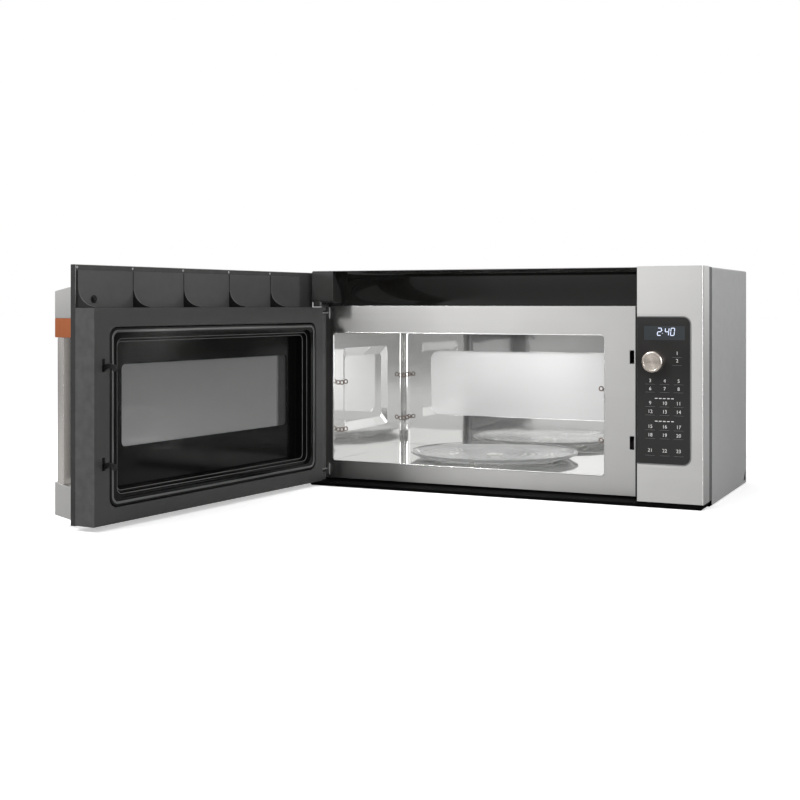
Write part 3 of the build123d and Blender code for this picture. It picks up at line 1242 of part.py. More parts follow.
def interlock_lever():
    """Pivoted lever behind the lower hook."""
    y, z = lever_axis()
    x0 = X_LEFT + SLOT_X - 1 + RUN
    x1 = X_LEFT + SLOT_X + SLOT_WIDE + 1 - RUN
    lever = rod("x", x0, y, z, 4.2, x1 - x0)
    front = Y_FACE + HOOK_OUT - INNER + 1.6
    lever += prism_x([(y - 3.9, z), (front, z + 8), (front, z + 34), (front + 2.5, z + 34),
                      (front + 2.5, z + 9), (y + 1, z + 3)], x0, x1)
    return lever - rod("x", x0 - 1, y, z, 2.0 + PIN_FIT, x1 - x0 + 2)


def interlock_switches():
    """Three snap switches beside the latch board."""
    switches = None
    x0 = X_LEFT + BOARD_RIGHT
    y0 = Y_FACE + CASE_SETBACK + 4
    low = HOOK_LOW - SWITCH_H / 2 - 0.5
    for z in (low, low + 2.5 * SWITCH_H, HOOK_HIGH - 1):
        body = block(x0, x0 + 10, y0, y0 + 16, Z_SILL + z, Z_SILL + z + SWITCH_H)
        body += block(x0 + 3, x0 + 7, y0 + 16, y0 + 18, Z_SILL + z + 16, Z_SILL + z + 20)
        for i in range(3):
            body += block(x0 + 4.6, x0 + 5.4, y0 - 2.5, y0, Z_SILL + z + 4 + 9 * i,
                          Z_SILL + z + 7 + 9 * i)
        switches = body if switches is None else switches + body
    return switches


# ---------------------------------------------------------------- ventilation
def blower_span():
    """X limits of the left wheel, the motor and the right wheel."""
    motor = BLOWER_MOTOR_W / 2
    gap = 4.0
    return motor + gap, motor + gap + WHEEL_W


def blower_housing():
    """Two scroll housings with a duct up to the exhaust collar."""
    near, far = blower_span()
    top = Z_CASE - DUCT_H
    housing = None
    for side in (-1, 1):
        x0, x1 = sorted((X_BLOWER + side * (near - 3), X_BLOWER + side * (far + 3)))
        outer = rod("x", x0, Y_BLOWER, Z_BLOWER, SCROLL_R + SCROLL_T, x1 - x0)
        outer += block(x0, x1, Y_BLOWER, Y_BLOWER + SCROLL_R + SCROLL_T, Z_BLOWER, top)
        inner = rod("x", x0 + SCROLL_T, Y_BLOWER, Z_BLOWER, SCROLL_R, x1 - x0 - 2 * SCROLL_T)
        inner += block(x0 + SCROLL_T, x1 - SCROLL_T, Y_BLOWER, Y_BLOWER + SCROLL_R, Z_BLOWER,
                       top + 1)
        scroll = outer - inner
        scroll -= rod("x", x0 - 1, Y_BLOWER, Z_BLOWER, INLET_R, x1 - x0 + 2)
        housing = scroll if housing is None else housing + scroll
    z0 = Z_CONV
    z1 = Z_BLOWER - SCROLL_R - SCROLL_T
    for side in (-1, 1):
        x0, x1 = sorted((X_BLOWER + side * (near - 3), X_BLOWER + side * (far + 3)))
        housing += block(x0 + 10, x1 - 10, Y_BLOWER - 16, Y_BLOWER - 12, z0, z1 + 4)
        housing += block(x0 + 10, x1 - 10, Y_BLOWER + 12, Y_BLOWER + 16, z0, z1 + 4)
    housing += block(X_BLOWER - near, X_BLOWER + near, Y_BLOWER - 20, Y_BLOWER + 20,
                     Z_BLOWER - BLOWER_MOTOR_R - 4, Z_BLOWER - BLOWER_MOTOR_R)
    return housing


def blower_motor():
    """Motor between the two wheels, with ribs and end bells."""
    half = BLOWER_MOTOR_W / 2
    body = rod("x", X_BLOWER - half, Y_BLOWER, Z_BLOWER, BLOWER_MOTOR_R - 4, BLOWER_MOTOR_W)
    body += rod("x", X_BLOWER - half + 8, Y_BLOWER, Z_BLOWER, BLOWER_MOTOR_R,
                BLOWER_MOTOR_W - 16)
    body += block(X_BLOWER - 18, X_BLOWER + 18, Y_BLOWER - 16, Y_BLOWER + 16,
                  Z_BLOWER - BLOWER_MOTOR_R, Z_BLOWER - BLOWER_MOTOR_R + 10)
    return body - rod("x", X_BLOWER - half - 1, Y_BLOWER, Z_BLOWER, BLOWER_SHAFT_R + PIN_FIT,
                      BLOWER_MOTOR_W + 2)


def blower_wheels():
    """Two forward-curved wheels on the motor's shaft."""
    near, far = blower_span()
    wheels = rod("x", X_BLOWER - far + 4, Y_BLOWER, Z_BLOWER, BLOWER_SHAFT_R, 2 * far - 8)
    lean = 0.16
    for side in (-1, 1):
        x0, x1 = sorted((X_BLOWER + side * near, X_BLOWER + side * far))
        hub_x = x0 if side > 0 else x1 - 2
        wheels += rod("x", hub_x, Y_BLOWER, Z_BLOWER, WHEEL_R, 2)
        wheels += rod("x", hub_x if side > 0 else hub_x - 8, Y_BLOWER, Z_BLOWER, 9, 10)
        rim_x = x1 - 2 if side > 0 else x0
        wheels += (rod("x", rim_x, Y_BLOWER, Z_BLOWER, WHEEL_R, 2)
                   - rod("x", rim_x - 1, Y_BLOWER, Z_BLOWER, WHEEL_IN, 4))
        for i in range(BLADES):
            a = 2 * math.pi * i / BLADES
            r0 = WHEEL_IN + 0.4
            r1 = WHEEL_R - 0.4
            rm = (r0 + r1) / 2

            def at(r, turn, t):
                y = r * math.cos(a + turn) - t * math.sin(a + turn)
                z = r * math.sin(a + turn) + t * math.cos(a + turn)
                return (Y_BLOWER + y, Z_BLOWER + z)

            wheels += prism_x([at(r0, 0, 0), at(rm, lean * 0.25, 0), at(r1, lean, 0),
                               at(r1, lean, BLADE_T), at(rm, lean * 0.25, BLADE_T),
                               at(r0, 0, BLADE_T)], x0 + 1, x1 - 1)
    return wheels


def exhaust_adaptor():
    """Collar in the case top that takes the duct, with the damper's bearings."""
    x0 = X_BLOWER - DUCT_W / 2
    x1 = X_BLOWER + DUCT_W / 2
    y0 = Y_FACE + DUCT_Y
    y1 = y0 + DUCT_D
    z0 = Z_CASE - DUCT_H
    collar = block(x0, x1, y0, y1, z0, Z_CASE)
    collar -= block(x0 + DUCT_T, x1 - DUCT_T, y0 + DUCT_T, y1 - DUCT_T, z0 - 1, Z_CASE + 1)
    collar += block(x0 - 8, x0, y0, y1, Z_CASE - SHEET - 1.5, Z_CASE - SHEET)
    collar += block(x1, x1 + 8, y0, y1, Z_CASE - SHEET - 1.5, Z_CASE - SHEET)
    y, z = flap_axis()
    return collar - rod("x", x0 - 1, y, z, FLAP_PIN_R + PIN_FIT, DUCT_W + 2)


def flap_axis():
    """Y and Z of the damper's pivot."""
    return Y_FACE + DUCT_Y + DUCT_T + 4, Z_CASE - DUCT_H + 7


def damper_flap():
    """Light flap that the air lifts."""
    x0 = X_BLOWER - DUCT_W / 2
    x1 = X_BLOWER + DUCT_W / 2
    y, z = flap_axis()
    y1 = Y_FACE + DUCT_Y + DUCT_D - DUCT_T - 1
    gap = DUCT_T + 0.8
    flap = block(x0 + gap, x1 - gap, y - 1, y1, z - FLAP_T / 2, z + FLAP_T / 2)
    flap += rod("x", x0 + 0.2, y, z, FLAP_PIN_R, DUCT_W - 0.4)
    return flap


# ---------------------------------------------------------------- convection
def convection_housing():
    """Round steel housing over the slots in the oven's ceiling."""
    outer = rod("z", X_CONV, Y_CONV, Z_CONV, CONV_R, CONV_H)
    outer -= rod("z", X_CONV, Y_CONV, Z_CONV - 1, CONV_R - SHEET, CONV_H + 1 - SHEET)
    outer += ring_z(X_CONV, Y_CONV, Z_CONV, CONV_R + 8, CONV_R - SHEET, SHEET)
    outer -= rod("z", X_CONV, Y_CONV, Z_CONV + 5, CONV_SHAFT_R + 3, CONV_H)
    for side in (-1, 1):
        y = Y_CONV - math.sqrt(HEATER_R ** 2 - HEATER_END ** 2)
        outer -= rod("z", X_CONV + side * HEATER_END, y, Z_CONV + 5, HEATER_T + SEAT, CONV_H)
    return outer


def convection_heater():
    """Open ring of eight-sided heater tube round the fan, with its two ends going up."""
    z = Z_CONV + CONV_H / 2
    half = math.degrees(math.asin(HEATER_END / HEATER_R))
    arc = CenterArc((0, 0), HEATER_R, -90 + half, 360 - 2 * half)
    start = arc @ 0
    tangent = arc % 0
    plane = Plane(origin=(start.X, start.Y, 0), z_dir=(tangent.X, tangent.Y, 0))
    coil = sweep(plane * RegularPolygon(HEATER_T, 8), path=arc)
    coil = Pos(X_CONV, Y_CONV, z) * coil
    y = Y_CONV + start.Y
    for side in (-1, 1):
        coil += Pos(X_CONV + side * HEATER_END, y, z) * Box(
            2 * HEATER_T, 2 * HEATER_T, 2 * HEATER_T)
        coil += rod("z", X_CONV + side * HEATER_END, y, z, HEATER_T, CONV_H / 2 + 12)
    return coil


def convection_motor():
    """Motor on the housing's top, with a cooling collar."""
    z = Z_CONV + CONV_H
    motor = rod("z", X_CONV, Y_CONV, z + 5, CONV_MOTOR_R, CONV_MOTOR_H)
    motor += rod("z", X_CONV, Y_CONV, z + CONV_MOTOR_H + 4, CONV_MOTOR_R - 10, 8)
    for i in range(3):
        leg = Pos(CONV_MOTOR_R - 4, 0, 3) * Box(6, 8, 6)
        motor += Pos(X_CONV, Y_CONV, z) * Rot(0, 0, 120 * i) * leg
    return motor - rod("z", X_CONV, Y_CONV, z - 1, CONV_SHAFT_R + PIN_FIT, CONV_MOTOR_H)


def convection_fan():
    """Radial fan under the motor."""
    z = Z_CONV + (CONV_H - CONV_FAN_H) / 2
    fan = rod("z", X_CONV, Y_CONV, z + CONV_FAN_H - 1, CONV_FAN_R, 1)
    fan += rod("z", X_CONV, Y_CONV, z, 8, CONV_FAN_H)
    for i in range(CONV_BLADES):
        blade = Pos((CONV_FAN_R + 10) / 2, 0, CONV_FAN_H / 2) * Rot(0, 0, 18) * Box(
            CONV_FAN_R - 16, 1, CONV_FAN_H)
        fan += Pos(X_CONV, Y_CONV, z) * Rot(0, 0, 360 * i / CONV_BLADES) * blade
    return fan + rod("z", X_CONV, Y_CONV, z + 2, CONV_SHAFT_R, CONV_H - 2)


# ---------------------------------------------------------------- cooling
def cooling_fan_shroud():
    """Plate with a collar, three struts and the fan's motor."""
    x = X_LEFT + FAN_X
    z = Z_SILL + FAN_Z
    y1 = Y_PANEL - SHEET - PANEL_FLANGE - 6
    half = SHROUD_W / 2
    plate = block(x - half, x + half, y1 - 2, y1, z - half, z + half)
    plate += rod("y", x, y1 - SHROUD_DEEP, z, FAN_R + 4, SHROUD_DEEP)
    plate -= rod("y", x, y1 - SHROUD_DEEP - 1, z, FAN_R + 2, SHROUD_DEEP + 2)
    plate += rod("y", x, y1 - 10, z, FAN_HUB_R, 16)
    for i in range(3):
        strut = Pos((FAN_R + 3) / 2 + 4, 0, 0) * Box(FAN_R - 4, 3, 5)
        plate += Pos(x, y1 - 3, z) * Rot(-90, 0, 0) * Rot(0, 0, 120 * i + 30) * strut
    foot = z - half
    plate += block(x - half, x + half, y1 - 14, y1, foot - 2, foot)
    plate += block(x - half, x - half + 8, y1 - 14, y1, Z_FLOOR + PAN_T, foot)
    plate += block(x + half - 8, x + half, y1 - 14, y1, Z_FLOOR + PAN_T, foot)
    return plate - rod("y", x, y1 - 12, z, CONV_SHAFT_R + PIN_FIT, 12)


def cooling_fan():
    """Five-bladed axial fan."""
    x = X_LEFT + FAN_X
    z = Z_SILL + FAN_Z
    y1 = Y_PANEL - SHEET - PANEL_FLANGE - 6
    y0 = y1 - 10 - RUN - FAN_D
    fan = rod("y", x, y0, z, FAN_HUB_R - 2, FAN_D)
    for i in range(5):
        blade = Pos((FAN_R + FAN_HUB_R - 4) / 2, 0, 0) * Rot(34, 0, 0) * Box(
            FAN_R - FAN_HUB_R + 3, 24, 1.2)
        wedge = Pos(x, y0 + FAN_D / 2, z) * Rot(-90, 0, 0) * Rot(0, 0, 72 * i) * blade
        fan += wedge & rod("y", x, y0, z, FAN_R, FAN_D)
    return fan + rod("y", x, y0 + 2, z, CONV_SHAFT_R, FAN_D + 6)


# ---------------------------------------------------------------- power parts
def waveguide():
    """Rectangular duct between the magnetron and the oven's side wall."""
    x0 = X_CAVITY_END + SHEET
    x1 = x0 + GUIDE_W
    y0 = Y_FACE + GUIDE_Y
    y1 = y0 + GUIDE_L
    z0 = Z_SILL + GUIDE_LOW
    z1 = z0 + GUIDE_H
    duct = block(x0, x1, y0, y1, z0, z1)
    duct -= block(x0 - 1, x1 - FACE_T, y0 + FACE_T, y1 - FACE_T, z0 + FACE_T, z1 - FACE_T)
    duct += block(x0, x0 + FACE_T, y0 - 8, y0, z0, z1)
    duct += block(x0, x0 + FACE_T, y1, y1 + 8, z0, z1)
    y, z = antenna_place()
    return duct - rod("x", x1 - 5, y, z, 10, 10)


def antenna_place():
    """Y and Z of the magnetron's axis."""
    return Y_FACE + GUIDE_Y + GUIDE_L / 2, Z_SILL + GUIDE_LOW + GUIDE_H / 2


def magnetron():
    """Magnetron with its yoke, cooling fins, antenna and filter box."""
    x0 = X_CAVITY_END + SHEET + GUIDE_W
    y, z = antenna_place()
    yoke = block(x0, x0 + MAG_W, y - MAG_L / 2, y + MAG_L / 2, z - MAG_H / 2, z + MAG_H / 2)
    yoke -= block(x0 + 2, x0 + MAG_W - 2, y - MAG_L / 2 + 2, y + MAG_L / 2 - 2,
                  z - MAG_H / 2 - 1, z + MAG_H / 2 + 1)
    tube = rod("x", x0 - 12, y, z, 7, 14)
    tube += rod("x", x0, y, z, 16, MAG_W)
    for i in range(MAG_FINS):
        x = x0 + 16 + (MAG_W - 32) * i / (MAG_FINS - 1)
        tube += block(x - 0.6, x + 0.6, y - MAG_L / 2 + 2, y + MAG_L / 2 - 2, z - 30, z + 30)
    for x in (x0 + 2, x0 + MAG_W - 12):
        tube += rod("x", x, y, z, 27, 10)
    box = block(x0 + MAG_W, x0 + MAG_W + 26, y - 30, y + 30, z - 22, z + 22)
    return yoke + tube + box


def inverter_supply():
    """High-voltage supply: board on feet, transformer, heat sink, capacitors."""
    x0 = X_LEFT + SUPPLY_X
    y0 = Y_FACE + 70
    z0 = Z_FLOOR + PAN_T + SUPPLY_UP
    x1 = x0 + SUPPLY_W
    y1 = y0 + SUPPLY_L
    supply = block(x0, x1, y0, y1, z0, z0 + 1.6)
    for x in (x0 + 6, x1 - 6):
        for y in (y0 + 6, y1 - 6):
            supply += block(x - 4, x + 4, y - 4, y + 4, Z_FLOOR + PAN_T, z0)
    top = z0 + 1.6
    supply += block(x0 + 10, x0 + 50, y0 + 15, y0 + 60, top, top + 12)
    supply += rod("z", x0 + 30, y0 + 37, top, 20, 40)
    supply += block(x0 + 10, x0 + 50, y0 + 15, y0 + 60, top + 38, top + 50)
    for i in range(3):
        supply += rod("z", x0 + 64, y0 + 26 + 24 * i, top, 9, 28)
    base = x0 + 82
    supply += block(base, base + 4, y0 + 12, y1 - 12, top, top + 46)
    pitch = (SUPPLY_L - 26) / (SINK_FINS - 1)
    for i in range(SINK_FINS):
        y = y0 + 12 + pitch * i
        supply += block(base, base + 30, y, y + 2, top, top + 46)
    return supply


NODES = {
    "outer_case": outer_case, "rear_panel": rear_panel, "wall_plate": wall_plate,
    "cord_gland": cord_gland, "base_pan": base_pan,
    "surface_lamp_covers": surface_lamp_covers,
    "grease_filter_left": lambda: grease_filter("left"),
    "grease_filter_right": lambda: grease_filter("right"),
    "oven_cavity": oven_cavity, "cavity_front_plate": cavity_front_plate,
    "waveguide_cover": waveguide_cover, "rack_clips": rack_clips,
    "glass_turntable": glass_turntable, "drive_coupler": drive_coupler,
    "roller_ring": roller_ring, "roller_1": lambda: roller(roller_places()[0]),
    "roller_2": lambda: roller(roller_places()[1]),
    "roller_3": lambda: roller(roller_places()[2]),
    "turntable_motor": turntable_motor,
    "vent_grille": vent_grille, "grille_end_cap": grille_end_cap,
    "charcoal_filter": charcoal_filter,
    "control_fascia": control_fascia, "control_chassis": control_chassis,
    "touch_panel": touch_panel, "display_module": display_module,
    "control_board": control_board, "dial_encoder": dial_encoder,
    "dial_plunger": dial_plunger, "dial_knob": dial_knob,
    "hinge_brackets": hinge_brackets,
    "door_skin": door_skin, "door_frame": door_frame, "door_air_guide": door_air_guide,
    "choke_cover": choke_cover, "window_surround": window_surround,
    "door_inner_glass": door_inner_glass, "window_screen": window_screen,
    "door_outer_glass": door_outer_glass,
    "handle_mounts": handle_mounts, "handle_band": handle_band, "handle_bar": handle_bar,
    "latch_bar": latch_bar, "latch_board": latch_board,
    "interlock_lever": interlock_lever, "interlock_switches": interlock_switches,
    "blower_housing": blower_housing, "blower_motor": blower_motor,
    "blower_wheels": blower_wheels, "exhaust_adaptor": exhaust_adaptor,
    "damper_flap": damper_flap,
    "convection_housing": convection_housing, "convection_heater": convection_heater,
    "convection_motor": convection_motor, "convection_fan": convection_fan,
    "cooling_fan_shroud": cooling_fan_shroud, "cooling_fan": cooling_fan,
    "waveguide": waveguide, "magnetron": magnetron, "inverter_supply": inverter_supply,
}


def main():
    """Write one STEP file for each piece."""
    os.makedirs("parts", exist_ok=True)
    for name, make in NODES.items():
        export_step(make(), os.path.join("parts", name + ".step"))


main()
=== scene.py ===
"""Over the range microwave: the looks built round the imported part, laid out as an add-on."""
import json
import math

import bmesh
import bpy
from bpy.props import FloatProperty, FloatVectorProperty, IntProperty, PointerProperty, StringProperty
from mathutils import Matrix, Vector


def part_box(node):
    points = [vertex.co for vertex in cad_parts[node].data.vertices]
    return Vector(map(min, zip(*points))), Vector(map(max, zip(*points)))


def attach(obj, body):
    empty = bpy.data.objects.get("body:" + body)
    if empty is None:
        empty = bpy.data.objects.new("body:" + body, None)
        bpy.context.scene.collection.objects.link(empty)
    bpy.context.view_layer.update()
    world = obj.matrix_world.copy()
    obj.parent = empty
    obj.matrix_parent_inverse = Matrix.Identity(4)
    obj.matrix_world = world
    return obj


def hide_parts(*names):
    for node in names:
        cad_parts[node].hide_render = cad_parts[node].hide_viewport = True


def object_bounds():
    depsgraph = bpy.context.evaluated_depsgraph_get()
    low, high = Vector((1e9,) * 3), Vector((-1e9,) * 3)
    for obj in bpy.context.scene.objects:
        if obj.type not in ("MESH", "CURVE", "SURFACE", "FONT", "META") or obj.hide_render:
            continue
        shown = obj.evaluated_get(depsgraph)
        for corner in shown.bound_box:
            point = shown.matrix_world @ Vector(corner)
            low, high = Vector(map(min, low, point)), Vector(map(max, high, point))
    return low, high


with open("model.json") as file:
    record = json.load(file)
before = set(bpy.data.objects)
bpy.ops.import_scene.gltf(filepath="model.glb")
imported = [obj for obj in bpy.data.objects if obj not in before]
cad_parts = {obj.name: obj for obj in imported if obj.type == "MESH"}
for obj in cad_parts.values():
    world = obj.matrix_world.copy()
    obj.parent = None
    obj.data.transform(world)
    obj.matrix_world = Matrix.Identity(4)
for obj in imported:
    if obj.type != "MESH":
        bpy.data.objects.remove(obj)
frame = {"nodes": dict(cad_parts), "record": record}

bl_info = {
    "name": "Over the range microwave",
    "version": (1, 0, 0),
    "blender": (4, 5, 0),
    "location": "3D View > Sidebar > Microwave",
    "description": "Dresses the packed microwave with finishes and modelled detail",
    "category": "Object",
}

CAD_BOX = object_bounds()
NODES = frame["nodes"]
BODY_OF = {node: body for body, nodes in frame["record"]["behaviour"]["bodies"].items()
           for node in nodes}
SLOT_OF = {row["node"]: row["material_slot"] for row in frame["record"]["subparts"]}
MM = 0.001

# The places that the pieces share, in metres, in the part's own frame.
OPEN_ANGLE = math.radians(95.7)
HINGE = Vector((-0.3721, -0.3648, 0.0))
DOOR_OPEN = (Matrix.Translation(HINGE) @ Matrix.Rotation(-OPEN_ANGLE, 4, "Z")
             @ Matrix.Translation(-HINGE))
DOOR_CLOSED = DOOR_OPEN.inverted()
X_LEFT = -0.3795    # the case's left side
X_FASCIA = 0.2655   # the fascia's side that meets the closed door
Y_FACE = -0.342     # the oven's front face
Y_INNER = -0.344    # the closed door's inner face
Y_FLANGE = -0.383   # where the closed door's air guide starts
Y_FRONT = -0.394    # the fascia's front
Y_GLASS = -0.393    # the touch glass's front
Z_SILL = -0.197     # the fascia's bottom
DIAL = Vector((0.2948, -0.395, 0.0434))
WEBS = (639.0, 514.7, 389.6, 265.4, 142.1)   # the air guide's webs, in mm from X_LEFT
FREE_EDGE = 0.2628                           # where the folded strip of the closed door starts
LINER_WALLS = ((-0.3516, 1), (0.1919, -1))   # the liner's side walls and their ways inwards
RACK_HEIGHTS = (-0.1056, -0.0126)
SIDEWAYS = 0.8                               # a face turned by more than this is a side face
SAME_POINT = 0.000004                        # points nearer than this are merged
SCREEN_HOLES = {"Pitch": 0.0021, "Radius": 0.30}

# The camera's place, turn and shift, solved from the photograph's perspective.
CAMERA_PLACE = (0.842145, -2.596254, 0.141003)
CAMERA_TURN = math.radians(24.986)
CAMERA_SHIFT = -0.1193


def from_sill(x, z):
    """A place on the front: x from the case's left side and z from the fascia's bottom, in mm."""
    return X_LEFT + x * MM, Z_SILL + z * MM


def across_door(at):
    """The x that a point of the open door has when the door is closed."""
    return (DOOR_CLOSED @ at).x


def turned_across(normal):
    """How far a face of the open door is turned to the side, seen with the door closed."""
    return (DOOR_CLOSED.to_3x3() @ normal).x


# ---------------------------------------------------------------- settings

def grey(value):
    """A neutral colour."""
    return (value, value, value)


def colour(name, text, value):
    """A colour setting."""
    return FloatVectorProperty(name=name, description=text, subtype="COLOR", size=3,
                               min=0.0, max=1.0, default=value)


def length(name, text, value):
    """A length setting in metres."""
    return FloatProperty(name=name, description=text, unit="LENGTH", subtype="DISTANCE",
                         min=0.0, default=value, precision=5)


def power(name, text, value):
    """A lamp's power setting in watts."""
    return FloatProperty(name=name, description=text, unit="POWER", default=value)


class MicrowaveFinish(bpy.types.PropertyGroup):
    """Colours and gloss of the microwave's finishes."""
    steel: colour("Brushed steel", "Tint of the fascia, oven face, door skin and handle's mounts",
                  (0.66, 0.655, 0.645))
    steel_rough: FloatProperty(name="Steel roughness", description="Roughness of the brushed steel",
                               subtype="FACTOR", min=0.0, max=1.0, default=0.30)
    liner: colour("Liner", "Tint of the polished oven liner", (0.92, 0.92, 0.91))
    paint: colour("Case paint", "Colour of the wrapped case", (0.39, 0.39, 0.392))
    grille: colour("Vent grille", "Colour of the glossy vent band", (0.007, 0.007, 0.0063))
    door: colour("Door frame", "Colour of the door's moulded frame", grey(0.044))
    surround: colour("Window surround", "Colour of the glossy frame round the window",
                     grey(0.0035))
    screen: colour("Window screen", "Tint of the perforated screen", grey(0.45))
    glass: colour("Touch panel", "Colour of the dark touch glass", (0.022, 0.021, 0.0205))
    copper: colour("Handle band", "Tint of the band on the handle", (0.62, 0.21, 0.094))
    knob: colour("Dial knob", "Tint of the spun dial", (0.68, 0.615, 0.55))


class MicrowaveDetail(bpy.types.PropertyGroup):
    """Sizes of the modelled detail."""
    edge: length("Sheet edge", "Rounding of the sheet metal edges", 0.0006)
    moulded_edge: length("Moulded edge", "Rounding of the plastic edges", 0.0009)
    steps: IntProperty(name="Turning steps", description="Steps round each turned piece",
                       min=24, max=256, default=128)
    time: StringProperty(name="Display", description="Digits shown on the display",
                         default="2:40")


class MicrowaveStage(bpy.types.PropertyGroup):
    """Camera and light."""
    lens: FloatProperty(name="Lens", description="Focal length of the camera",
                        unit="CAMERA", default=58.617)
    key: power("Key light", "Power of the key light", 22.0)
    lamp: power("Oven lamp", "Power of the lamp in the oven", 1.1)
    sky: FloatProperty(name="Studio", description="Strength of the soft studio light",
                       min=0.0, default=0.95)


# ---------------------------------------------------------------- node groups

class Net:
    """A node tree with short ways to add nodes and join them."""

    def __init__(self, tree):
        self.tree = tree
        self.place = 0

    def add(self, kind, settings=None, **inputs):
        """Adds a node, sets its settings and inputs, and joins the inputs that are sockets."""
        node = self.tree.nodes.new(kind)
        node.location = (self.place * 180, 0)
        self.place += 1
        for key, value in (settings or {}).items():
            setattr(node, key, value)
        for key, value in inputs.items():
            self.feed(node, key.replace("_", " "), value)
        return node

    def feed(self, node, key, value):
        """Sets an input by name or number, or joins it to another node's output."""
        numbered = key.startswith("in") and key[2:].isdigit()
        socket = node.inputs[int(key[2:]) if numbered else key]
        if isinstance(value, bpy.types.NodeSocket):
            self.tree.links.new(value, socket)
        else:
            socket.default_value = value

    def math(self, operation, first, second=0.0, third=0.0):
        """The output of a Math node."""
        return self.add("ShaderNodeMath", {"operation": operation},
                        in0=first, in1=second, in2=third).outputs[0]

    def distance(self, across, up):
        """How far a point is from the middle, from its two parts."""
        square = self.math("MULTIPLY_ADD", across, across, self.math("MULTIPLY", up, up))
        return self.math("SQRT", square)

    def ramp(self, value, low, high, to_low=0.0, to_high=1.0):
        """The output of a clamped Map Range node."""
        return self.add("ShaderNodeMapRange", {"clamp": True}, Value=value, From_Min=low,
                        From_Max=high, To_Min=to_low, To_Max=to_high).outputs["Result"]

    def noise(self, vector, scale, detail=2.0, roughness=0.5, distortion=0.0):
        """The output of a Noise node."""
        return self.add("ShaderNodeTexNoise", Vector=vector, Scale=scale, Detail=detail,
                        Roughness=roughness, Distortion=distortion).outputs["Fac"]

    def parts(self, vector):
        """The X, Y and Z of a vector."""
        return self.add("ShaderNodeSeparateXYZ", Vector=vector).outputs

    def blend(self, factor, first, second):
        """The output of a colour Mix node."""
        node = self.add("ShaderNodeMix", {"data_type": "RGBA"}, in0=factor)
        for key, value in (("in6", first), ("in7", second)):
            plain = not isinstance(value, bpy.types.NodeSocket)
            self.feed(node, key, (*value[:3], 1.0) if plain else value)
        return node.outputs[2]

    def show(self, factor, first, second, output="Material Output"):
        """Shows a mix of two shader nodes on the tree's output."""
        mix = self.add("ShaderNodeMixShader", in0=factor, in1=first.outputs[0],
                       in2=second.outputs[0])
        self.feed(self.tree.nodes[output], "Surface", mix.outputs[0])

    def close(self, **outputs):
        """Joins the outputs of a group and gives its tree."""
        self.add("NodeGroupOutput", **outputs)
        return self.tree


def new_group(name, numbers, outputs):
    """A node group that takes a Vector and some numbers: its net, and what it is given."""
    tree = bpy.data.node_groups.new(name, "ShaderNodeTree")
    make = tree.interface.new_socket
    make(name="Vector", in_out="INPUT", socket_type="NodeSocketVector")
    for label, value in numbers.items():
        make(name=label, in_out="INPUT", socket_type="NodeSocketFloat").default_value = value
    for label in outputs:
        make(name=label, in_out="OUTPUT", socket_type="NodeSocketFloat")
    net = Net(tree)
    return net, net.add("NodeGroupInput").outputs


def grain_group():
    """Long fine streaks from brushing, on a vector stretched along the brushing."""
    net, given = new_group("Brushed grain", {"Fineness": 1.0}, ("Streaks", "Height"))
    fine = net.noise(given["Vector"], given["Fineness"], 4.0, 0.65)
    wide_scale = net.math("MULTIPLY", given["Fineness"], 0.11)
    wide = net.noise(given["Vector"], wide_scale, 3.0, 0.5)
    both = net.math("MULTIPLY_ADD", wide, 0.4, net.math("MULTIPLY", fine, 0.6))
    return net.close(Streaks=both, Height=fine)


def speckle_group():
    """Fine moulded or sprayed grain, with a slower swell under it."""
    net, given = new_group("Fine grain", {"Size": 0.001}, ("Height", "Patches"))
    fine = net.noise(given["Vector"], net.math("DIVIDE", 1.0, given["Size"]), 2.0, 0.6)
    slow = net.noise(given["Vector"], 9.0, 5.0, 0.6)
    return net.close(Height=fine, Patches=slow)


def smudge_group():
    """Faint handling marks for the roughness of glossy faces."""
    net, given = new_group("Smudges", {"Amount": 0.1}, ("Marks",))
    cloud = net.noise(given["Vector"], 7.0, 6.0, 0.62, 0.5)
    marks = net.math("MULTIPLY", net.ramp(cloud, 0.48, 0.72), given["Amount"])
    return net.close(Marks=marks)


def hole_group():
    """Round holes in staggered rows, on the vector's X and Z."""
    net, given = new_group("Round holes", {"Pitch": 0.002, "Radius": 0.3}, ("Metal",))
    row_pitch = math.sqrt(3.0)
    soft_edge = 0.05
    parts = net.parts(given["Vector"])
    across = net.math("DIVIDE", parts["X"], given["Pitch"])
    up = net.math("DIVIDE", net.math("DIVIDE", parts["Z"], given["Pitch"]), row_pitch)
    reach = []
    for shift in (0.0, 0.5):
        a, b = (net.math("SUBTRACT", net.math("FRACT", net.math("ADD", way, shift)), 0.5)
                for way in (across, up))
        reach.append(net.distance(a, net.math("MULTIPLY", b, row_pitch)))
    inner = net.math("SUBTRACT", given["Radius"], soft_edge)
    outer = net.math("ADD", given["Radius"], soft_edge)
    return net.close(Metal=net.ramp(net.math("MINIMUM", *reach), inner, outer))


def edge_group():
    """Lighter rims on edges, from the mesh's own curvature: partly wear where a finish thins over an
    edge, partly painted highlight along the edges.
    """
    net, given = new_group("Worn and highlit edges", {"Amount": 0.5}, ("Rim",))
    curve = net.add("ShaderNodeNewGeometry").outputs["Pointiness"]
    # Painted highlight: edges are made lighter as thin bright lines, along with real wear.
    rim = net.ramp(curve, 0.506, 0.57)
    broken = net.ramp(net.noise(given["Vector"], 60.0, 4.0), 0.35, 0.65, 0.3, 1.0)
    rim = net.math("MULTIPLY", net.math("MULTIPLY", rim, broken), given["Amount"])
    return net.close(Rim=rim)


GROUP_MAKERS = {"grain": grain_group, "speckle": speckle_group, "smudges": smudge_group,
                "holes": hole_group, "edges": edge_group}
GROUPS = {}


def shared(name):
    """The shared node group of that name, built once."""
    if name not in GROUPS:
        GROUPS[name] = GROUP_MAKERS[name]()
    return GROUPS[name]


# ---------------------------------------------------------------- finishes

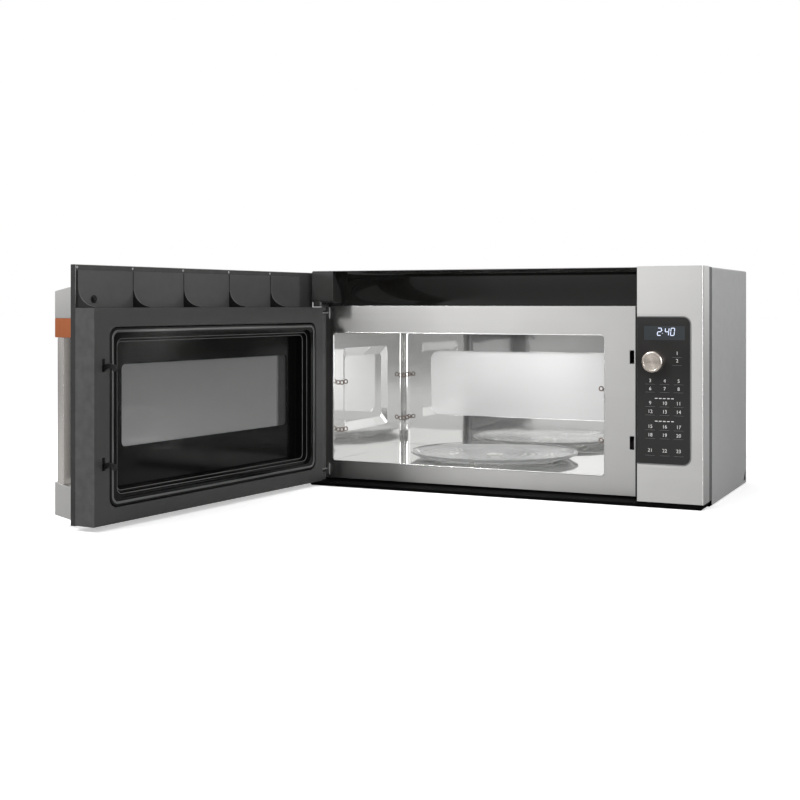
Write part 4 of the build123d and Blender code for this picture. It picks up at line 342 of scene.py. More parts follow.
def tinted(base, factor, lift=0.0):
    """A colour made darker or lighter."""
    return tuple(min(1.0, part * factor + lift) for part in base)


class Finish(Net):
    """A material, with its Principled BSDF and its object coordinates."""

    def __init__(self, name, base, metallic=0.0, roughness=0.4, turn=0.0):
        self.material = bpy.data.materials.new(name)
        self.material.use_nodes = True
        self.material.diffuse_color = (*base[:3], 1.0)
        super().__init__(self.material.node_tree)
        self.bsdf = self.tree.nodes["Principled BSDF"]
        self.put(Base_Color=(*base[:3], 1.0), Metallic=metallic, Roughness=roughness)
        self.vector = self.add("ShaderNodeTexCoord").outputs["Object"]
        if turn:
            turned = self.add("ShaderNodeVectorRotate", {"rotation_type": "Z_AXIS"},
                              Vector=self.vector, Center=HINGE, Angle=turn)
            self.vector = turned.outputs[0]

    def put(self, **inputs):
        """Sets or joins inputs of the Principled BSDF."""
        for key, value in inputs.items():
            self.feed(self.bsdf, key.replace("_", " "), value)

    def stretched(self, scale):
        """The coordinates, stretched by a Mapping node."""
        return self.add("ShaderNodeMapping", Vector=self.vector, Scale=scale).outputs[0]

    def group(self, name, **inputs):
        """The outputs of a shared node group placed in this material."""
        inputs.setdefault("Vector", self.vector)
        return self.add("ShaderNodeGroup", {"node_tree": shared(name)}, **inputs).outputs

    def streaks(self, scale):
        """Brushing streaks on coordinates stretched by the scale."""
        return self.group("grain", Vector=self.stretched(scale), Fineness=1.0)

    def shade(self, factor, first, second):
        """Sets the base colour to a blend of two colours."""
        self.put(Base_Color=self.blend(factor, first, second))

    def lit_rims(self, tone, light, amount):
        """Sets the base colour to a tone, with a lighter one on edges for wear and painted highlight.
        """
        self.shade(self.group("edges", Amount=amount)["Rim"], tone, light)

    def gloss(self, noise, low, high):
        """A roughness from low to high that follows a noise."""
        return self.ramp(noise, 0.3, 0.7, low, high)

    def smudged(self, rough, amount):
        """Sets the roughness, with faint handling marks added to it."""
        marks = self.group("smudges", Amount=amount)["Marks"]
        self.put(Roughness=self.math("ADD", rough, marks))

    def brushed_round(self, axis, amount, rotation):
        """Stretches the highlights along the brushing, round an axis."""
        tangent = self.add("ShaderNodeTangent", {"direction_type": "RADIAL", "axis": axis})
        self.put(Anisotropic=amount, Anisotropic_Rotation=rotation, Tangent=tangent.outputs[0])

    def bump(self, height, strength, distance, normal=None):
        """Adds a Bump node and joins it to the shader."""
        node = self.add("ShaderNodeBump", Height=height, Strength=strength, Distance=distance)
        if normal is not None:
            self.feed(node, "Normal", normal)
        self.put(Normal=node.outputs[0])
        return node.outputs[0]


def brushed_steel(name, base, roughness, along="X", turn=0.0):
    """Stainless steel brushed along one direction."""
    finish = Finish(name, base, 1.0, roughness, turn)
    streaks = finish.streaks((4.0, 800.0, 800.0) if along == "X" else (800.0, 800.0, 4.0))
    rough = finish.gloss(streaks["Streaks"], roughness - 0.02, roughness + 0.02)
    finish.smudged(rough, 0.03)
    finish.shade(finish.ramp(streaks["Streaks"], 0.32, 0.68), tinted(base, 0.98), base)
    finish.brushed_round("Z", 0.8, 0.25 if along == "X" else 0.0)
    finish.bump(streaks["Height"], 0.003, 0.0004)
    return finish.material


def polished_liner(name, base, roughness, metallic=1.0):
    """Polished stainless with the slow waves of a pressed sheet."""
    finish = Finish(name, base, metallic, roughness)
    slow = finish.noise(finish.vector, 14.0, 2.0, 0.45)
    streaks = finish.streaks((8.0, 8.0, 300.0))
    rough = finish.gloss(streaks["Streaks"], roughness - 0.02, roughness + 0.02)
    finish.smudged(rough, 0.04)
    finish.shade(finish.ramp(streaks["Streaks"], 0.3, 0.7), tinted(base, 0.97), base)
    swell = finish.bump(slow, 0.10, 0.003)
    finish.bump(streaks["Height"], 0.004, 0.0004, swell)
    return finish.material


def sprayed_paint(name, base, roughness=0.42, size=0.0016, wear_and_sheen=0.25, specular=0.5):
    """Baked paint on sheet steel, with an orange-peel surface and lighter rims."""
    finish = Finish(name, base, 0.0, roughness)
    grain = finish.group("speckle", Size=size)
    tone = finish.blend(finish.ramp(grain["Patches"], 0.35, 0.65), tinted(base, 0.94), base)
    # Lighter rims: wear, and a painted highlight along the edges.
    finish.lit_rims(tone, tinted(base, 1.5, 0.03), wear_and_sheen)
    rough = finish.gloss(grain["Patches"], roughness - 0.04, roughness + 0.05)
    finish.put(Roughness=rough, Specular_IOR_Level=specular)
    finish.bump(grain["Height"], 0.10, 0.0002)
    return finish.material


def moulded_plastic(name, base, roughness, specular=0.5, wear_and_sheen=0.15, depth=0.12):
    """Injection-moulded plastic with a fine grain."""
    finish = Finish(name, base, 0.0, roughness)
    grain = finish.group("speckle", Size=0.0007)
    tone = finish.blend(finish.ramp(grain["Patches"], 0.35, 0.65), tinted(base, 0.9), base)
    # Lighter rims: wear, and a painted highlight along the edges.
    finish.lit_rims(tone, tinted(base, 1.3, 0.02), wear_and_sheen)
    rough = finish.gloss(grain["Patches"], roughness - 0.04, roughness + 0.04)
    finish.smudged(rough, 0.08)
    finish.put(Specular_IOR_Level=specular)
    finish.bump(grain["Height"], depth, 0.0002)
    return finish.material


def gloss_plastic(name, base, roughness, specular):
    """Glossy moulded plastic or enamel with faint handling marks."""
    finish = Finish(name, base, 0.0, roughness)
    grain = finish.group("speckle", Size=0.02)
    # Lighter rims: wear, and a painted highlight along the edges.
    finish.lit_rims(base, tinted(base, 1.4, 0.015), 0.2)
    finish.smudged(roughness, 0.10)
    finish.put(Specular_IOR_Level=specular)
    finish.bump(grain["Height"], 0.03, 0.0006)
    return finish.material


def galvanised_steel(name, base=(0.52, 0.53, 0.54), roughness=0.38):
    """Zinc-coated sheet with its faint crystals."""
    finish = Finish(name, base, 1.0, roughness)
    cells = finish.add("ShaderNodeTexVoronoi", Vector=finish.vector, Scale=120.0)
    crystals = finish.ramp(cells.outputs["Distance"], 0.0, 0.8)
    tone = finish.math("MULTIPLY", finish.noise(finish.vector, 35.0, 3.0), 0.6)
    mixed = finish.math("MULTIPLY_ADD", crystals, 0.4, tone)
    finish.shade(mixed, tinted(base, 0.78), tinted(base, 1.15))
    finish.put(Roughness=finish.ramp(mixed, 0.2, 0.8, roughness - 0.08, roughness + 0.1))
    finish.bump(mixed, 0.05, 0.0003)
    return finish.material


def lamp_glass(name, tint):
    """Frosted clear glass that lets the light through to what lies behind it."""
    finish = Finish(name, tint, 0.0, 0.12)
    finish.smudged(0.12, 0.03)
    finish.put(Transmission_Weight=1.0, IOR=1.45)
    path = finish.add("ShaderNodeLightPath")
    through = finish.add("ShaderNodeBsdfTransparent", Color=(*tinted(tint, 0.92), 1.0))
    finish.show(path.outputs["Is Shadow Ray"], finish.bsdf, through)
    return finish.material


def pane_glass(name, tint, veil, body, turn=0.0):
    """A thin pane: a reflection over what shows through it; the window's pane has its print of holes
    and painted shade along its hinge side.
    """
    milky = tinted(tint, body)
    finish = Finish(name, milky, 0.0, 0.02, turn)
    if turn:
        # Painted shade: the window pane's veil is darkened along the hinge side over the well's
        # shaded reveal.
        side = finish.ramp(finish.parts(finish.vector)["X"], X_LEFT + 0.1288, X_LEFT + 0.1296)
        holes = finish.group("holes", **SCREEN_HOLES)["Metal"]
        dotted = finish.blend(holes, tinted(milky, 0.80), milky)
        finish.shade(side, tinted(milky, 0.25), dotted)
    finish.smudged(0.02, 0.05)
    through = finish.add("ShaderNodeBsdfTransparent", Color=(*tint, 1.0))
    fresnel = finish.add("ShaderNodeFresnel", IOR=1.45)
    finish.show(finish.math("ADD", fresnel.outputs[0], veil), through, finish.bsdf)
    return finish.material


def dark_glass(name, base):
    """Dark screen-printed glass."""
    finish = Finish(name, base, 0.0, 0.07)
    slow = finish.noise(finish.vector, 20.0)
    finish.shade(slow, tinted(base, 0.88), base)
    finish.smudged(0.07, 0.08)
    finish.put(Specular_IOR_Level=0.4)
    finish.bump(slow, 0.02, 0.001)
    return finish.material


def screen_steel(name, base, turn):
    """The window's perforated screen, with its rows of holes and painted shade of the well's side
    wall along its hinge side.
    """
    finish = Finish(name, base, 0.0, 0.45, turn)
    metal = finish.group("holes", **SCREEN_HOLES)["Metal"]
    tone = finish.blend(finish.noise(finish.vector, 5.0), base, tinted(base, 1.12))
    across = finish.parts(finish.vector)["X"]
    # Painted shade: the screen is darkened along its hinge side where the well's side wall lies in
    # shade.
    reveal_shade = finish.ramp(across, X_LEFT + 0.1268, X_LEFT + 0.1274, 0.26, 1.0)
    finish.shade(reveal_shade, grey(0.0), finish.blend(metal, tinted(base, 0.45), tone))
    finish.put(Roughness=finish.ramp(metal, 0.0, 1.0, 0.7, 0.42))
    finish.bump(metal, 0.4, 0.0004)
    return finish.material


def filter_mesh(name):
    """Layers of expanded aluminium mesh."""
    finish = Finish(name, (0.62, 0.62, 0.63), 1.0, 0.38)
    bands = {"wave_type": "BANDS", "bands_direction": "DIAGONAL"}
    weave = [finish.add("ShaderNodeTexWave", bands, Vector=finish.stretched((1.0, lean, 1.0)),
                        Scale=110.0, Distortion=0.6).outputs["Fac"] for lean in (0.62, -0.62)]
    strands = finish.ramp(finish.math("MAXIMUM", *weave), 0.55, 0.95)
    finish.shade(strands, (0.06, 0.06, 0.065), (0.66, 0.66, 0.67))
    finish.put(Metallic=strands, Roughness=finish.ramp(strands, 0.0, 1.0, 0.7, 0.3))
    finish.bump(strands, 0.8, 0.0012)
    return finish.material


def charcoal_bed(name):
    """Charcoal granules behind a net."""
    finish = Finish(name, grey(0.02), 0.0, 0.6)
    cells = finish.add("ShaderNodeTexVoronoi", Vector=finish.vector, Scale=320.0)
    depth = cells.outputs["Distance"]
    finish.shade(depth, grey(0.045), grey(0.01))
    finish.put(Roughness=finish.ramp(depth, 0.0, 1.0, 0.35, 0.8))
    finish.bump(depth, 0.8, -0.002)
    return finish.material


def circuit_board(name):
    """Green solder mask with faint tracks."""
    finish = Finish(name, (0.02, 0.10, 0.05), 0.0, 0.35)
    brick = finish.add("ShaderNodeTexBrick", Vector=finish.vector, Scale=90.0,
                       Mortar_Size=0.04, Color1=(0.02, 0.12, 0.06, 1.0),
                       Color2=(0.015, 0.09, 0.045, 1.0), Mortar=(0.05, 0.22, 0.10, 1.0))
    tracks = brick.outputs["Fac"]
    finish.put(Base_Color=brick.outputs["Color"],
               Roughness=finish.ramp(tracks, 0.0, 1.0, 0.28, 0.42))
    finish.bump(tracks, 0.3, 0.0002)
    return finish.material


def copper_band(name, base):
    """Brushed copper, or another warm metal."""
    finish = Finish(name, base, 1.0, 0.30)
    streaks = finish.streaks((420.0, 420.0, 8.0))
    finish.shade(streaks["Streaks"], tinted(base, 0.82), base)
    finish.smudged(finish.gloss(streaks["Streaks"], 0.24, 0.36), 0.08)
    finish.bump(streaks["Height"], 0.06, 0.0004)
    return finish.material


def spun_metal(name, base):
    """Metal turned on a lathe, with fine rings that fan the highlights out."""
    finish = Finish(name, base, 1.0, 0.22)
    centred = finish.add("ShaderNodeMapping", Vector=finish.vector, Location=tuple(-DIAL))
    parts = finish.parts(centred.outputs[0])
    radius = finish.math("MULTIPLY", finish.distance(parts["X"], parts["Z"]), 2600.0)
    rings = finish.add("ShaderNodeTexNoise", {"noise_dimensions": "1D"}, W=radius, Scale=1.0,
                       Detail=3.0).outputs["Fac"]
    finish.shade(rings, tinted(base, 0.86), base)
    finish.put(Roughness=finish.gloss(rings, 0.17, 0.28))
    finish.brushed_round("Y", 0.85, 0.25)
    finish.bump(rings, 0.08, 0.0003)
    return finish.material


def glowing(name, base, strength):
    """Lit segments of the display, with their faint unevenness."""
    finish = Finish(name, grey(0.02), 0.0, 0.4)
    slow = finish.noise(finish.vector, 300.0)
    finish.put(Emission_Color=finish.blend(slow, tinted(base, 0.9), base),
               Emission_Strength=strength)
    return finish.material


def printed_ink(name, base):
    """Thin printed ink."""
    finish = Finish(name, base, 0.0, 0.5)
    slow = finish.noise(finish.vector, 900.0)
    finish.shade(slow, tinted(base, 0.85), base)
    finish.put(Roughness=finish.gloss(slow, 0.45, 0.6))
    return finish.material


def finish_table(look):
    """Each finish by its name: its maker, and the colour and numbers that the maker takes."""
    return {
        "fascia_steel": (brushed_steel, look.steel, look.steel_rough),
        # Painted shade: the oven face is the fascia's steel made darker.
        "shaded_face_steel": (brushed_steel, tinted(look.steel, 0.78), 0.33),
        "door_steel": (brushed_steel, look.steel, look.steel_rough, "X", OPEN_ANGLE),
        "handle_steel": (brushed_steel, (0.74, 0.71, 0.68), 0.26, "Z"),
        "mount_steel": (brushed_steel, look.steel, 0.32, "Z"),
        "liner": (polished_liner, look.liner, 0.05, 0.93),
        "liner_panel": (polished_liner, grey(0.94), 0.22, 0.55),
        "rim_steel": (polished_liner, (0.86, 0.86, 0.85), 0.18),
        "bright_steel": (polished_liner, (0.62, 0.60, 0.57), 0.2),
        "case_paint": (sprayed_paint, look.paint),
        "black_paint": (sprayed_paint, (0.0022, 0.0022, 0.0023), 0.70, 0.0012, 0.01, 0.03),
        "grille_black": (gloss_plastic, look.grille, 0.05, 0.46),
        "surround_black": (gloss_plastic, look.surround, 0.10, 0.18),
        "cap_black": (gloss_plastic, (0.032, 0.032, 0.031), 0.16, 0.6),
        "bead_black": (gloss_plastic, grey(0.075), 0.08, 1.0),
        "return_grey": (moulded_plastic, (0.085, 0.085, 0.084), 0.42, 0.4),
        "door_grey": (moulded_plastic, look.door, 0.36, 0.5, 0.6),
        "guide_grey": (moulded_plastic, tinted(look.door, 1.8), 0.30, 0.5, 0.15, 0.06),
        "choke_grey": (moulded_plastic, look.door, 0.42),
        "hook_black": (moulded_plastic, grey(0.006), 0.36, 0.35),
        # Painted shade: near-black on the door skin's folded steel strip, which reflects dark.
        "free_edge_shade": (moulded_plastic, grey(0.012), 0.35, 0.5, 0.4),
        # Painted shade: the grey of the sunk bevel round the touch glass.
        "bevel_shade_grey": (moulded_plastic, grey(0.17), 0.3),
        # Painted shade: near-black filler for gaps that show dark from shade.
        "gap_shade": (moulded_plastic, grey(0.008), 0.8),
        "bronzed": (moulded_plastic, (0.11, 0.085, 0.07), 0.3),
        "white_plastic": (moulded_plastic, (0.72, 0.71, 0.68), 0.4),
        "grey_plastic": (moulded_plastic, (0.10, 0.10, 0.105), 0.42),
        "mica": (moulded_plastic, (0.55, 0.54, 0.50), 0.35),
        "touch_glass": (dark_glass, look.glass),
        "display_glass": (dark_glass, (0.038, 0.043, 0.048)),
        "inner_pane": (pane_glass, grey(0.93), 0.12, 0.95, OPEN_ANGLE),
        "tray_glass": (pane_glass, (0.97, 0.975, 0.97), 0.03, 0.42),
        "lamp_glass": (lamp_glass, (0.97, 0.98, 0.98)),
        "screen": (screen_steel, look.screen, OPEN_ANGLE),
        "filter_mesh": (filter_mesh,),
        "charcoal": (charcoal_bed,),
        "board": (circuit_board,),
        "galvanised": (galvanised_steel,),
        "aluminium": (galvanised_steel, (0.72, 0.72, 0.73), 0.32),
        "screw_steel": (galvanised_steel, grey(0.50), 0.3),
        "copper": (copper_band, look.copper),
        "clip_metal": (copper_band, (0.20, 0.14, 0.11)),
        "spun": (spun_metal, look.knob),
        "digits": (glowing, (0.72, 0.80, 1.0), 1.35),
        "ink": (printed_ink, (0.70, 0.70, 0.69)),
        "dim_ink": (printed_ink, grey(0.16)),
    }


def finish_of(name):
    """The material of a finish, made at its first use."""
    title = name + "_finish"
    found = bpy.data.materials.get(title)
    if found is None:
        maker, *given = finish_table(bpy.context.scene.microwave_finish)[name]
        found = maker(title, *given)
    return found


# ---------------------------------------------------------------- modelling helpers

def deselect():
    """Deselects every object."""
    for obj in bpy.context.selected_objects:
        obj.select_set(False)


def activate(obj):
    """Makes one object the only selected and active one."""
    deselect()
    obj.select_set(True)
    bpy.context.view_layer.objects.active = obj


def settle():
    """Puts the place, turn and scale of the selected objects into their meshes."""
    bpy.ops.object.transform_apply(location=True, rotation=True, scale=True)


def open_up(obj):
    """Opens the object in edit mode with all of it selected."""
    activate(obj)
    bpy.ops.object.mode_set(mode="EDIT")
    bpy.ops.mesh.select_all(action="SELECT")


def edit(obj):
    """Opens the object in edit mode with nothing selected."""
    activate(obj)
    bpy.ops.object.mode_set(mode="EDIT")
    bpy.ops.mesh.select_mode(type="FACE")
    bpy.ops.mesh.select_all(action="DESELECT")


def leave():
    """Goes back to object mode."""
    bpy.ops.object.mode_set(mode="OBJECT")


def everything(kind):
    """In edit mode, selects the whole mesh as faces or as vertices."""
    bpy.ops.mesh.select_mode(type=kind)
    bpy.ops.mesh.select_all(action="SELECT")


def face_outwards():
    """In edit mode, turns every face outwards."""
    bpy.ops.mesh.select_all(action="SELECT")
    bpy.ops.mesh.normals_make_consistent(inside=False)


def middles(mesh, kind):
    """The faces, edges or vertices of a mesh, each with its middle and its direction."""
    if kind == "FACE":
        return [(face, face.calc_center_median(), face.normal) for face in mesh.faces]
    if kind == "VERT":
        return [(point, point.co, point.normal) for point in mesh.verts]
    ends = [(line, line.verts[0].co, line.verts[1].co) for line in mesh.edges]
    return [(line, (first + last) / 2, last - first) for line, first, last in ends]


def pick(obj, test, kind="FACE"):
    """In edit mode, selects the faces, edges or vertices whose middle passes the test."""
    bpy.ops.mesh.select_mode(type=kind)
    bpy.ops.mesh.select_all(action="DESELECT")
    mesh = bmesh.from_edit_mesh(obj.data)
    for part, middle, way in middles(mesh, kind):
        if test(middle, way):
            part.select_set(True)
    mesh.select_flush_mode()
    bmesh.update_edit_mesh(obj.data)


def round_along(obj, axis, offset, segments):
    """Rounds the edges of a block that run along an axis."""
    edit(obj)
    pick(obj, lambda at, way: abs(way[axis]) > 0.00001, "EDGE")
    bpy.ops.mesh.bevel(offset=offset, segments=segments)
    leave()


def modify(obj, kind, **settings):
    """Adds a modifier and applies it."""
    activate(obj)
    modifier = obj.modifiers.new(kind.title(), kind)
    for key, value in settings.items():
        setattr(modifier, key, value)
    bpy.ops.object.modifier_apply(modifier=modifier.name)


def smooth(obj, angle=35.0):
    """Smooths the faces that meet at less than the angle."""
    activate(obj)
    bpy.ops.object.shade_smooth_by_angle(angle=math.radians(angle))


def round_edges(obj, width, segments=2, angle=35.0):
    """Rounds the sharp edges and keeps the flat faces flat."""
    modify(obj, "BEVEL", width=width, segments=segments, limit_method="ANGLE",
           angle_limit=math.radians(angle), use_clamp_overlap=True)
    smooth(obj, angle)
    modify(obj, "WEIGHTED_NORMAL", keep_sharp=True, weight=50)


def place(obj, name, body, look, replaced=(), opened=False):
    """Names a finished piece, gives it its material, and sets it on its body."""
    if opened:
        obj.matrix_world = DOOR_OPEN @ obj.matrix_world
    activate(obj)
    settle()
    obj.name = name
    obj.data.name = name
    obj.data.materials.clear()
    obj.data.materials.append(finish_of(look))
    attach(obj, body)
    if replaced:
        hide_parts(*replaced)
    deselect()
    return obj


def stand_for(obj, node, look, name=None, opened=False):
    """Sets a piece in the place of a CAD node."""
    title = name or node + "_finished"
    return place(obj, title, BODY_OF[node], look, (node,), opened)


def set_beside(obj, name, node, look):
    """Sets a piece on the body of a CAD node that stays."""
    return place(obj, name, BODY_OF[node], look)


def hang_on_door(obj, name, look):
    """Swings a piece that was made on the closed door open, and sets it there."""
    return place(obj, name, "door", look, (), True)


def paint(node, look):
    """Gives a CAD node its finish."""
    obj = NODES[node]
    if not obj.material_slots:
        obj.data.materials.append(finish_of(look))
    for slot in obj.material_slots:
        slot.material = finish_of(look)


def merged_copy(node):
    """A copy of a CAD node's mesh with its doubles merged and its flat faces joined."""
    mesh = NODES[node].data.copy()
    piece = bpy.data.objects.new(node + "_copy", mesh)
    bpy.context.scene.collection.objects.link(piece)
    activate(piece)
    if mesh.has_custom_normals:
        bpy.ops.mesh.customdata_custom_splitnormals_clear()
    open_up(piece)
    bpy.ops.mesh.remove_doubles(threshold=SAME_POINT)
    bpy.ops.mesh.dissolve_limited(angle_limit=math.radians(0.6))
    leave()
    return piece


def soft_piece(node, look, width, segments=2, angle=35.0):
    """Replaces a CAD node with a copy whose edges are rounded as folded or moulded edges are."""
    piece = merged_copy(node)
    round_edges(piece, width, segments, angle)
    return stand_for(piece, node, look)


def second_finish(obj, look, test):
    """Gives the faces that pass the test another finish."""
    obj.data.materials.append(finish_of(look))
    obj.active_material_index = len(obj.material_slots) - 1
    edit(obj)
    pick(obj, test)
    bpy.ops.object.material_slot_assign()
    leave()
    deselect()


def lathe(profile, centre, axis="Z", steps=None):
    """Turns a profile of (radius, height) points round an axis through the centre."""
    steps = steps or bpy.context.scene.microwave_detail.steps
    around = Vector((0, 0, 1)) if axis == "Z" else Vector((0, -1, 0))
    points = [centre + Vector((radius, 0, 0)) + around * height for radius, height in profile]
    deselect()
    bpy.ops.mesh.primitive_plane_add(size=0.001, location=points[0])
    obj = bpy.context.active_object
    settle()
    bpy.ops.object.mode_set(mode="EDIT")
    everything("VERT")
    bpy.ops.mesh.merge(type="CENTER")
    for at, to in zip(points, points[1:]):
        bpy.ops.mesh.extrude_region_move(TRANSFORM_OT_translate={"value": to - at})
    bpy.ops.mesh.select_all(action="SELECT")
    bpy.ops.mesh.spin(steps=steps, angle=math.tau, center=centre, axis=around)
    bpy.ops.mesh.select_all(action="SELECT")
    bpy.ops.mesh.remove_doubles(threshold=SAME_POINT)
    face_outwards()
    leave()
    return obj


def twin(obj, matrix):
    """A copy of a piece with its own mesh, moved by the matrix."""
    copy = obj.copy()
    copy.data = obj.data.copy()
    bpy.context.scene.collection.objects.link(copy)
    copy.matrix_world = matrix @ obj.matrix_world
    return copy


def unite(pieces):
    """Joins pieces into the first one."""
    deselect()
    for piece in pieces:
        piece.select_set(True)
    bpy.context.view_layer.objects.active = pieces[0]
    bpy.ops.object.join()
    return pieces[0]


def block(low, high):
    """A block from its lowest to its highest corner."""
    low, high = Vector(low), Vector(high)
    deselect()
    bpy.ops.mesh.primitive_cube_add(size=1.0, location=(low + high) / 2)
    obj = bpy.context.active_object
    obj.scale = high - low
    settle()
    return obj


def soft_block(low, high, width, segments=2):
    """A block with rounded edges."""
    obj = block(low, high)
    round_edges(obj, width, segments)
    return obj


def standing_plane(centre, wide, tall):
    """A flat upright rectangle that faces the front."""
    deselect()
    bpy.ops.mesh.primitive_plane_add(size=1.0, location=centre,
                                     rotation=(math.radians(90), 0, 0))
    obj = bpy.context.active_object
    obj.scale = (wide, tall, 1.0)
    settle()
    return obj


def flat_ring(low, high, corner, wide, y, thick, round_off):
    """A flat rounded frame that faces the front, from its outer size."""
    ring = standing_plane(((low[0] + high[0]) / 2, y, (low[1] + high[1]) / 2),
                          high[0] - low[0], high[1] - low[1])
    bpy.ops.object.mode_set(mode="EDIT")
    everything("VERT")
    bpy.ops.mesh.bevel(offset=corner, segments=8, affect="VERTICES")
    everything("FACE")
    bpy.ops.mesh.inset(thickness=wide)
    bpy.ops.mesh.delete(type="FACE")
    face_outwards()
    leave()
    modify(ring, "SOLIDIFY", thickness=thick, offset=0.0)
    open_up(ring)
    face_outwards()
    leave()
    round_edges(ring, round_off, 3, 50.0)
    return ring


# ---------------------------------------------------------------- pieces

class PieceOperator(bpy.types.Operator):
    """What the piece operators share."""
    bl_options = {"REGISTER", "UNDO"}

    def execute(self, context):
        self.make(context)
        deselect()
        return {"FINISHED"}


# The finishes of the nodes that don't have their slot's own look, mostly inside the case.
INNER_FINISHES = {
    "galvanised": ("rear_panel", "wall_plate", "turntable_motor", "waveguide",
                   "cooling_fan_shroud", "blower_housing", "blower_motor", "exhaust_adaptor",
                   "damper_flap", "convection_housing", "convection_motor", "convection_fan"),
    "hook_black": ("cord_gland", "display_module", "latch_board", "interlock_switches"),
    "white_plastic": ("drive_coupler", "dial_plunger", "interlock_lever", "roller_ring",
                      "roller_1", "roller_2", "roller_3"),
    "grey_plastic": ("dial_encoder", "cooling_fan", "blower_wheels"),
    "aluminium": ("magnetron", "grease_filter_left", "grease_filter_right"),
    "board": ("control_board", "inverter_supply"),
    "mica": ("waveguide_cover",),
    "bright_steel": ("convection_heater",),
    "charcoal": ("charcoal_filter",),
    "screw_steel": ("hinge_brackets",),
    "lamp_glass": ("surface_lamp_covers",),
    "bronzed": ("rack_clips",),
}
# The slots whose finish has another name than the slot.
SLOT_FINISHES = {"stainless": "fascia_steel", "door_black": "surround_black",
                 "clear_glass": "inner_pane", "dark_glass": "touch_glass",
                 "screen_steel": "screen", "pcb": "board", "bright": "bright_steel"}


class MICROWAVE_OT_inner_finishes(PieceOperator):
    """Gives every CAD node a finish, before the shown ones are dressed."""
    bl_idname = "microwave.inner_finishes"
    bl_label = "Inner Finishes"

    def make(self, context):
        own = {node: look for look, nodes in INNER_FINISHES.items() for node in nodes}
        for node in NODES:
            slot = SLOT_OF[node]
            paint(node, own.get(node, SLOT_FINISHES.get(slot, slot)))


class MICROWAVE_OT_shells(PieceOperator):
    """Makes the sheet metal and moulded shells with rounded edges."""
    bl_idname = "microwave.shells"
    bl_label = "Shells"

    def make(self, context):
        detail = context.scene.microwave_detail
        sheet, moulded = detail.edge, detail.moulded_edge
        for node, look, width in (
                ("outer_case", "case_paint", sheet * 0.7),
                ("base_pan", "black_paint", sheet),
                ("cavity_front_plate", "shaded_face_steel", sheet * 0.6),
                ("control_fascia", "fascia_steel", sheet),
                ("control_chassis", "return_grey", moulded),
                ("door_skin", "door_steel", sheet * 0.7),
                ("door_frame", "door_grey", moulded),
                ("choke_cover", "choke_grey", moulded),
                ("handle_mounts", "mount_steel", moulded * 1.2),
                ("handle_bar", "handle_steel", sheet),
                ("handle_band", "copper", sheet),
                ("vent_grille", "grille_black", moulded),
                ("hinge_brackets", "screw_steel", sheet * 0.5),
                ("latch_bar", "hook_black", sheet * 0.8),
                ("rear_panel", "galvanised", sheet * 0.5),
                ("wall_plate", "galvanised", sheet * 0.6),
                ("touch_panel", "touch_glass", sheet)):
            piece = soft_piece(node, look, width)
            # Painted shade: the folded steel strip at the door's free edge gets a near-black finish
            # for its dark reflection.
            if node == "door_skin":
                second_finish(piece, "free_edge_shade", self.on_free_edge)

    def on_free_edge(self, at, normal):
        """Whether a face is on the folded strip at the door's free edge."""
        return across_door(at) > FREE_EDGE and turned_across(normal) > SIDEWAYS


class MICROWAVE_OT_window(PieceOperator):
    """Makes the window surround and its pane with a wide clear opening."""
    bl_idname = "microwave.window"
    bl_label = "Window"

    def make(self, context):
        detail = context.scene.microwave_detail
        for node, look, width, left, right in (
                ("window_surround", "surround_black", detail.moulded_edge * 2.0, 116.0, 528.0),
                ("door_inner_glass", "inner_pane", detail.edge, 100.0, 544.0)):
            pane = merged_copy(node)
            self.widen(pane, X_LEFT + left * MM, -0.011)
            self.widen(pane, X_LEFT + right * MM, 0.024)
            round_edges(pane, width)
            stand_for(pane, node, look)

        # Painted shade: a dark block in the gap between the door skin's fold and the frame.
        groove = soft_block((0.2610, -0.3850, Z_SILL - 0.0010), (0.26335, -0.3826, 0.1335),
                            0.0002)
        hang_on_door(groove, "door_edge_groove", "gap_shade")

        bead = flat_ring(from_sill(52.5, 28.1), from_sill(604.5, 298.9),
                         0.0140, 0.0042, Y_INNER - 0.0004, 0.0022, 0.0010)
        hang_on_door(bead, "surround_bead", "bead_black")
        for step in (1, 2):
            inset = 16.2 + 6.0 * step
            lip = flat_ring(from_sill(47.0 + inset, 23.6 + inset * 0.8),
                            from_sill(610.0 - inset, 303.4 - inset * 0.8),
                            0.0140 - 0.002 * step, 0.0014, Y_INNER - 0.006 * step, 0.0014,
                            0.0005)
            hang_on_door(lip, "surround_step_%d" % step, "bead_black")

    def widen(self, pane, side, shift):
        """Moves an upright side of the clear opening along the door."""
        lowest, highest = Z_SILL + 0.095, Z_SILL + 0.266
        outward = 1.0 if shift > 0 else -1.0

        def at_side(at, normal):
            inward = (side - across_door(at)) * outward
            return -0.0005 < inward < 0.0085 and lowest < at.z < highest

        edit(pane)
        pick(pane, at_side, "VERT")
        bpy.ops.transform.translate(value=DOOR_OPEN.to_3x3() @ Vector((shift, 0, 0)))
        leave()


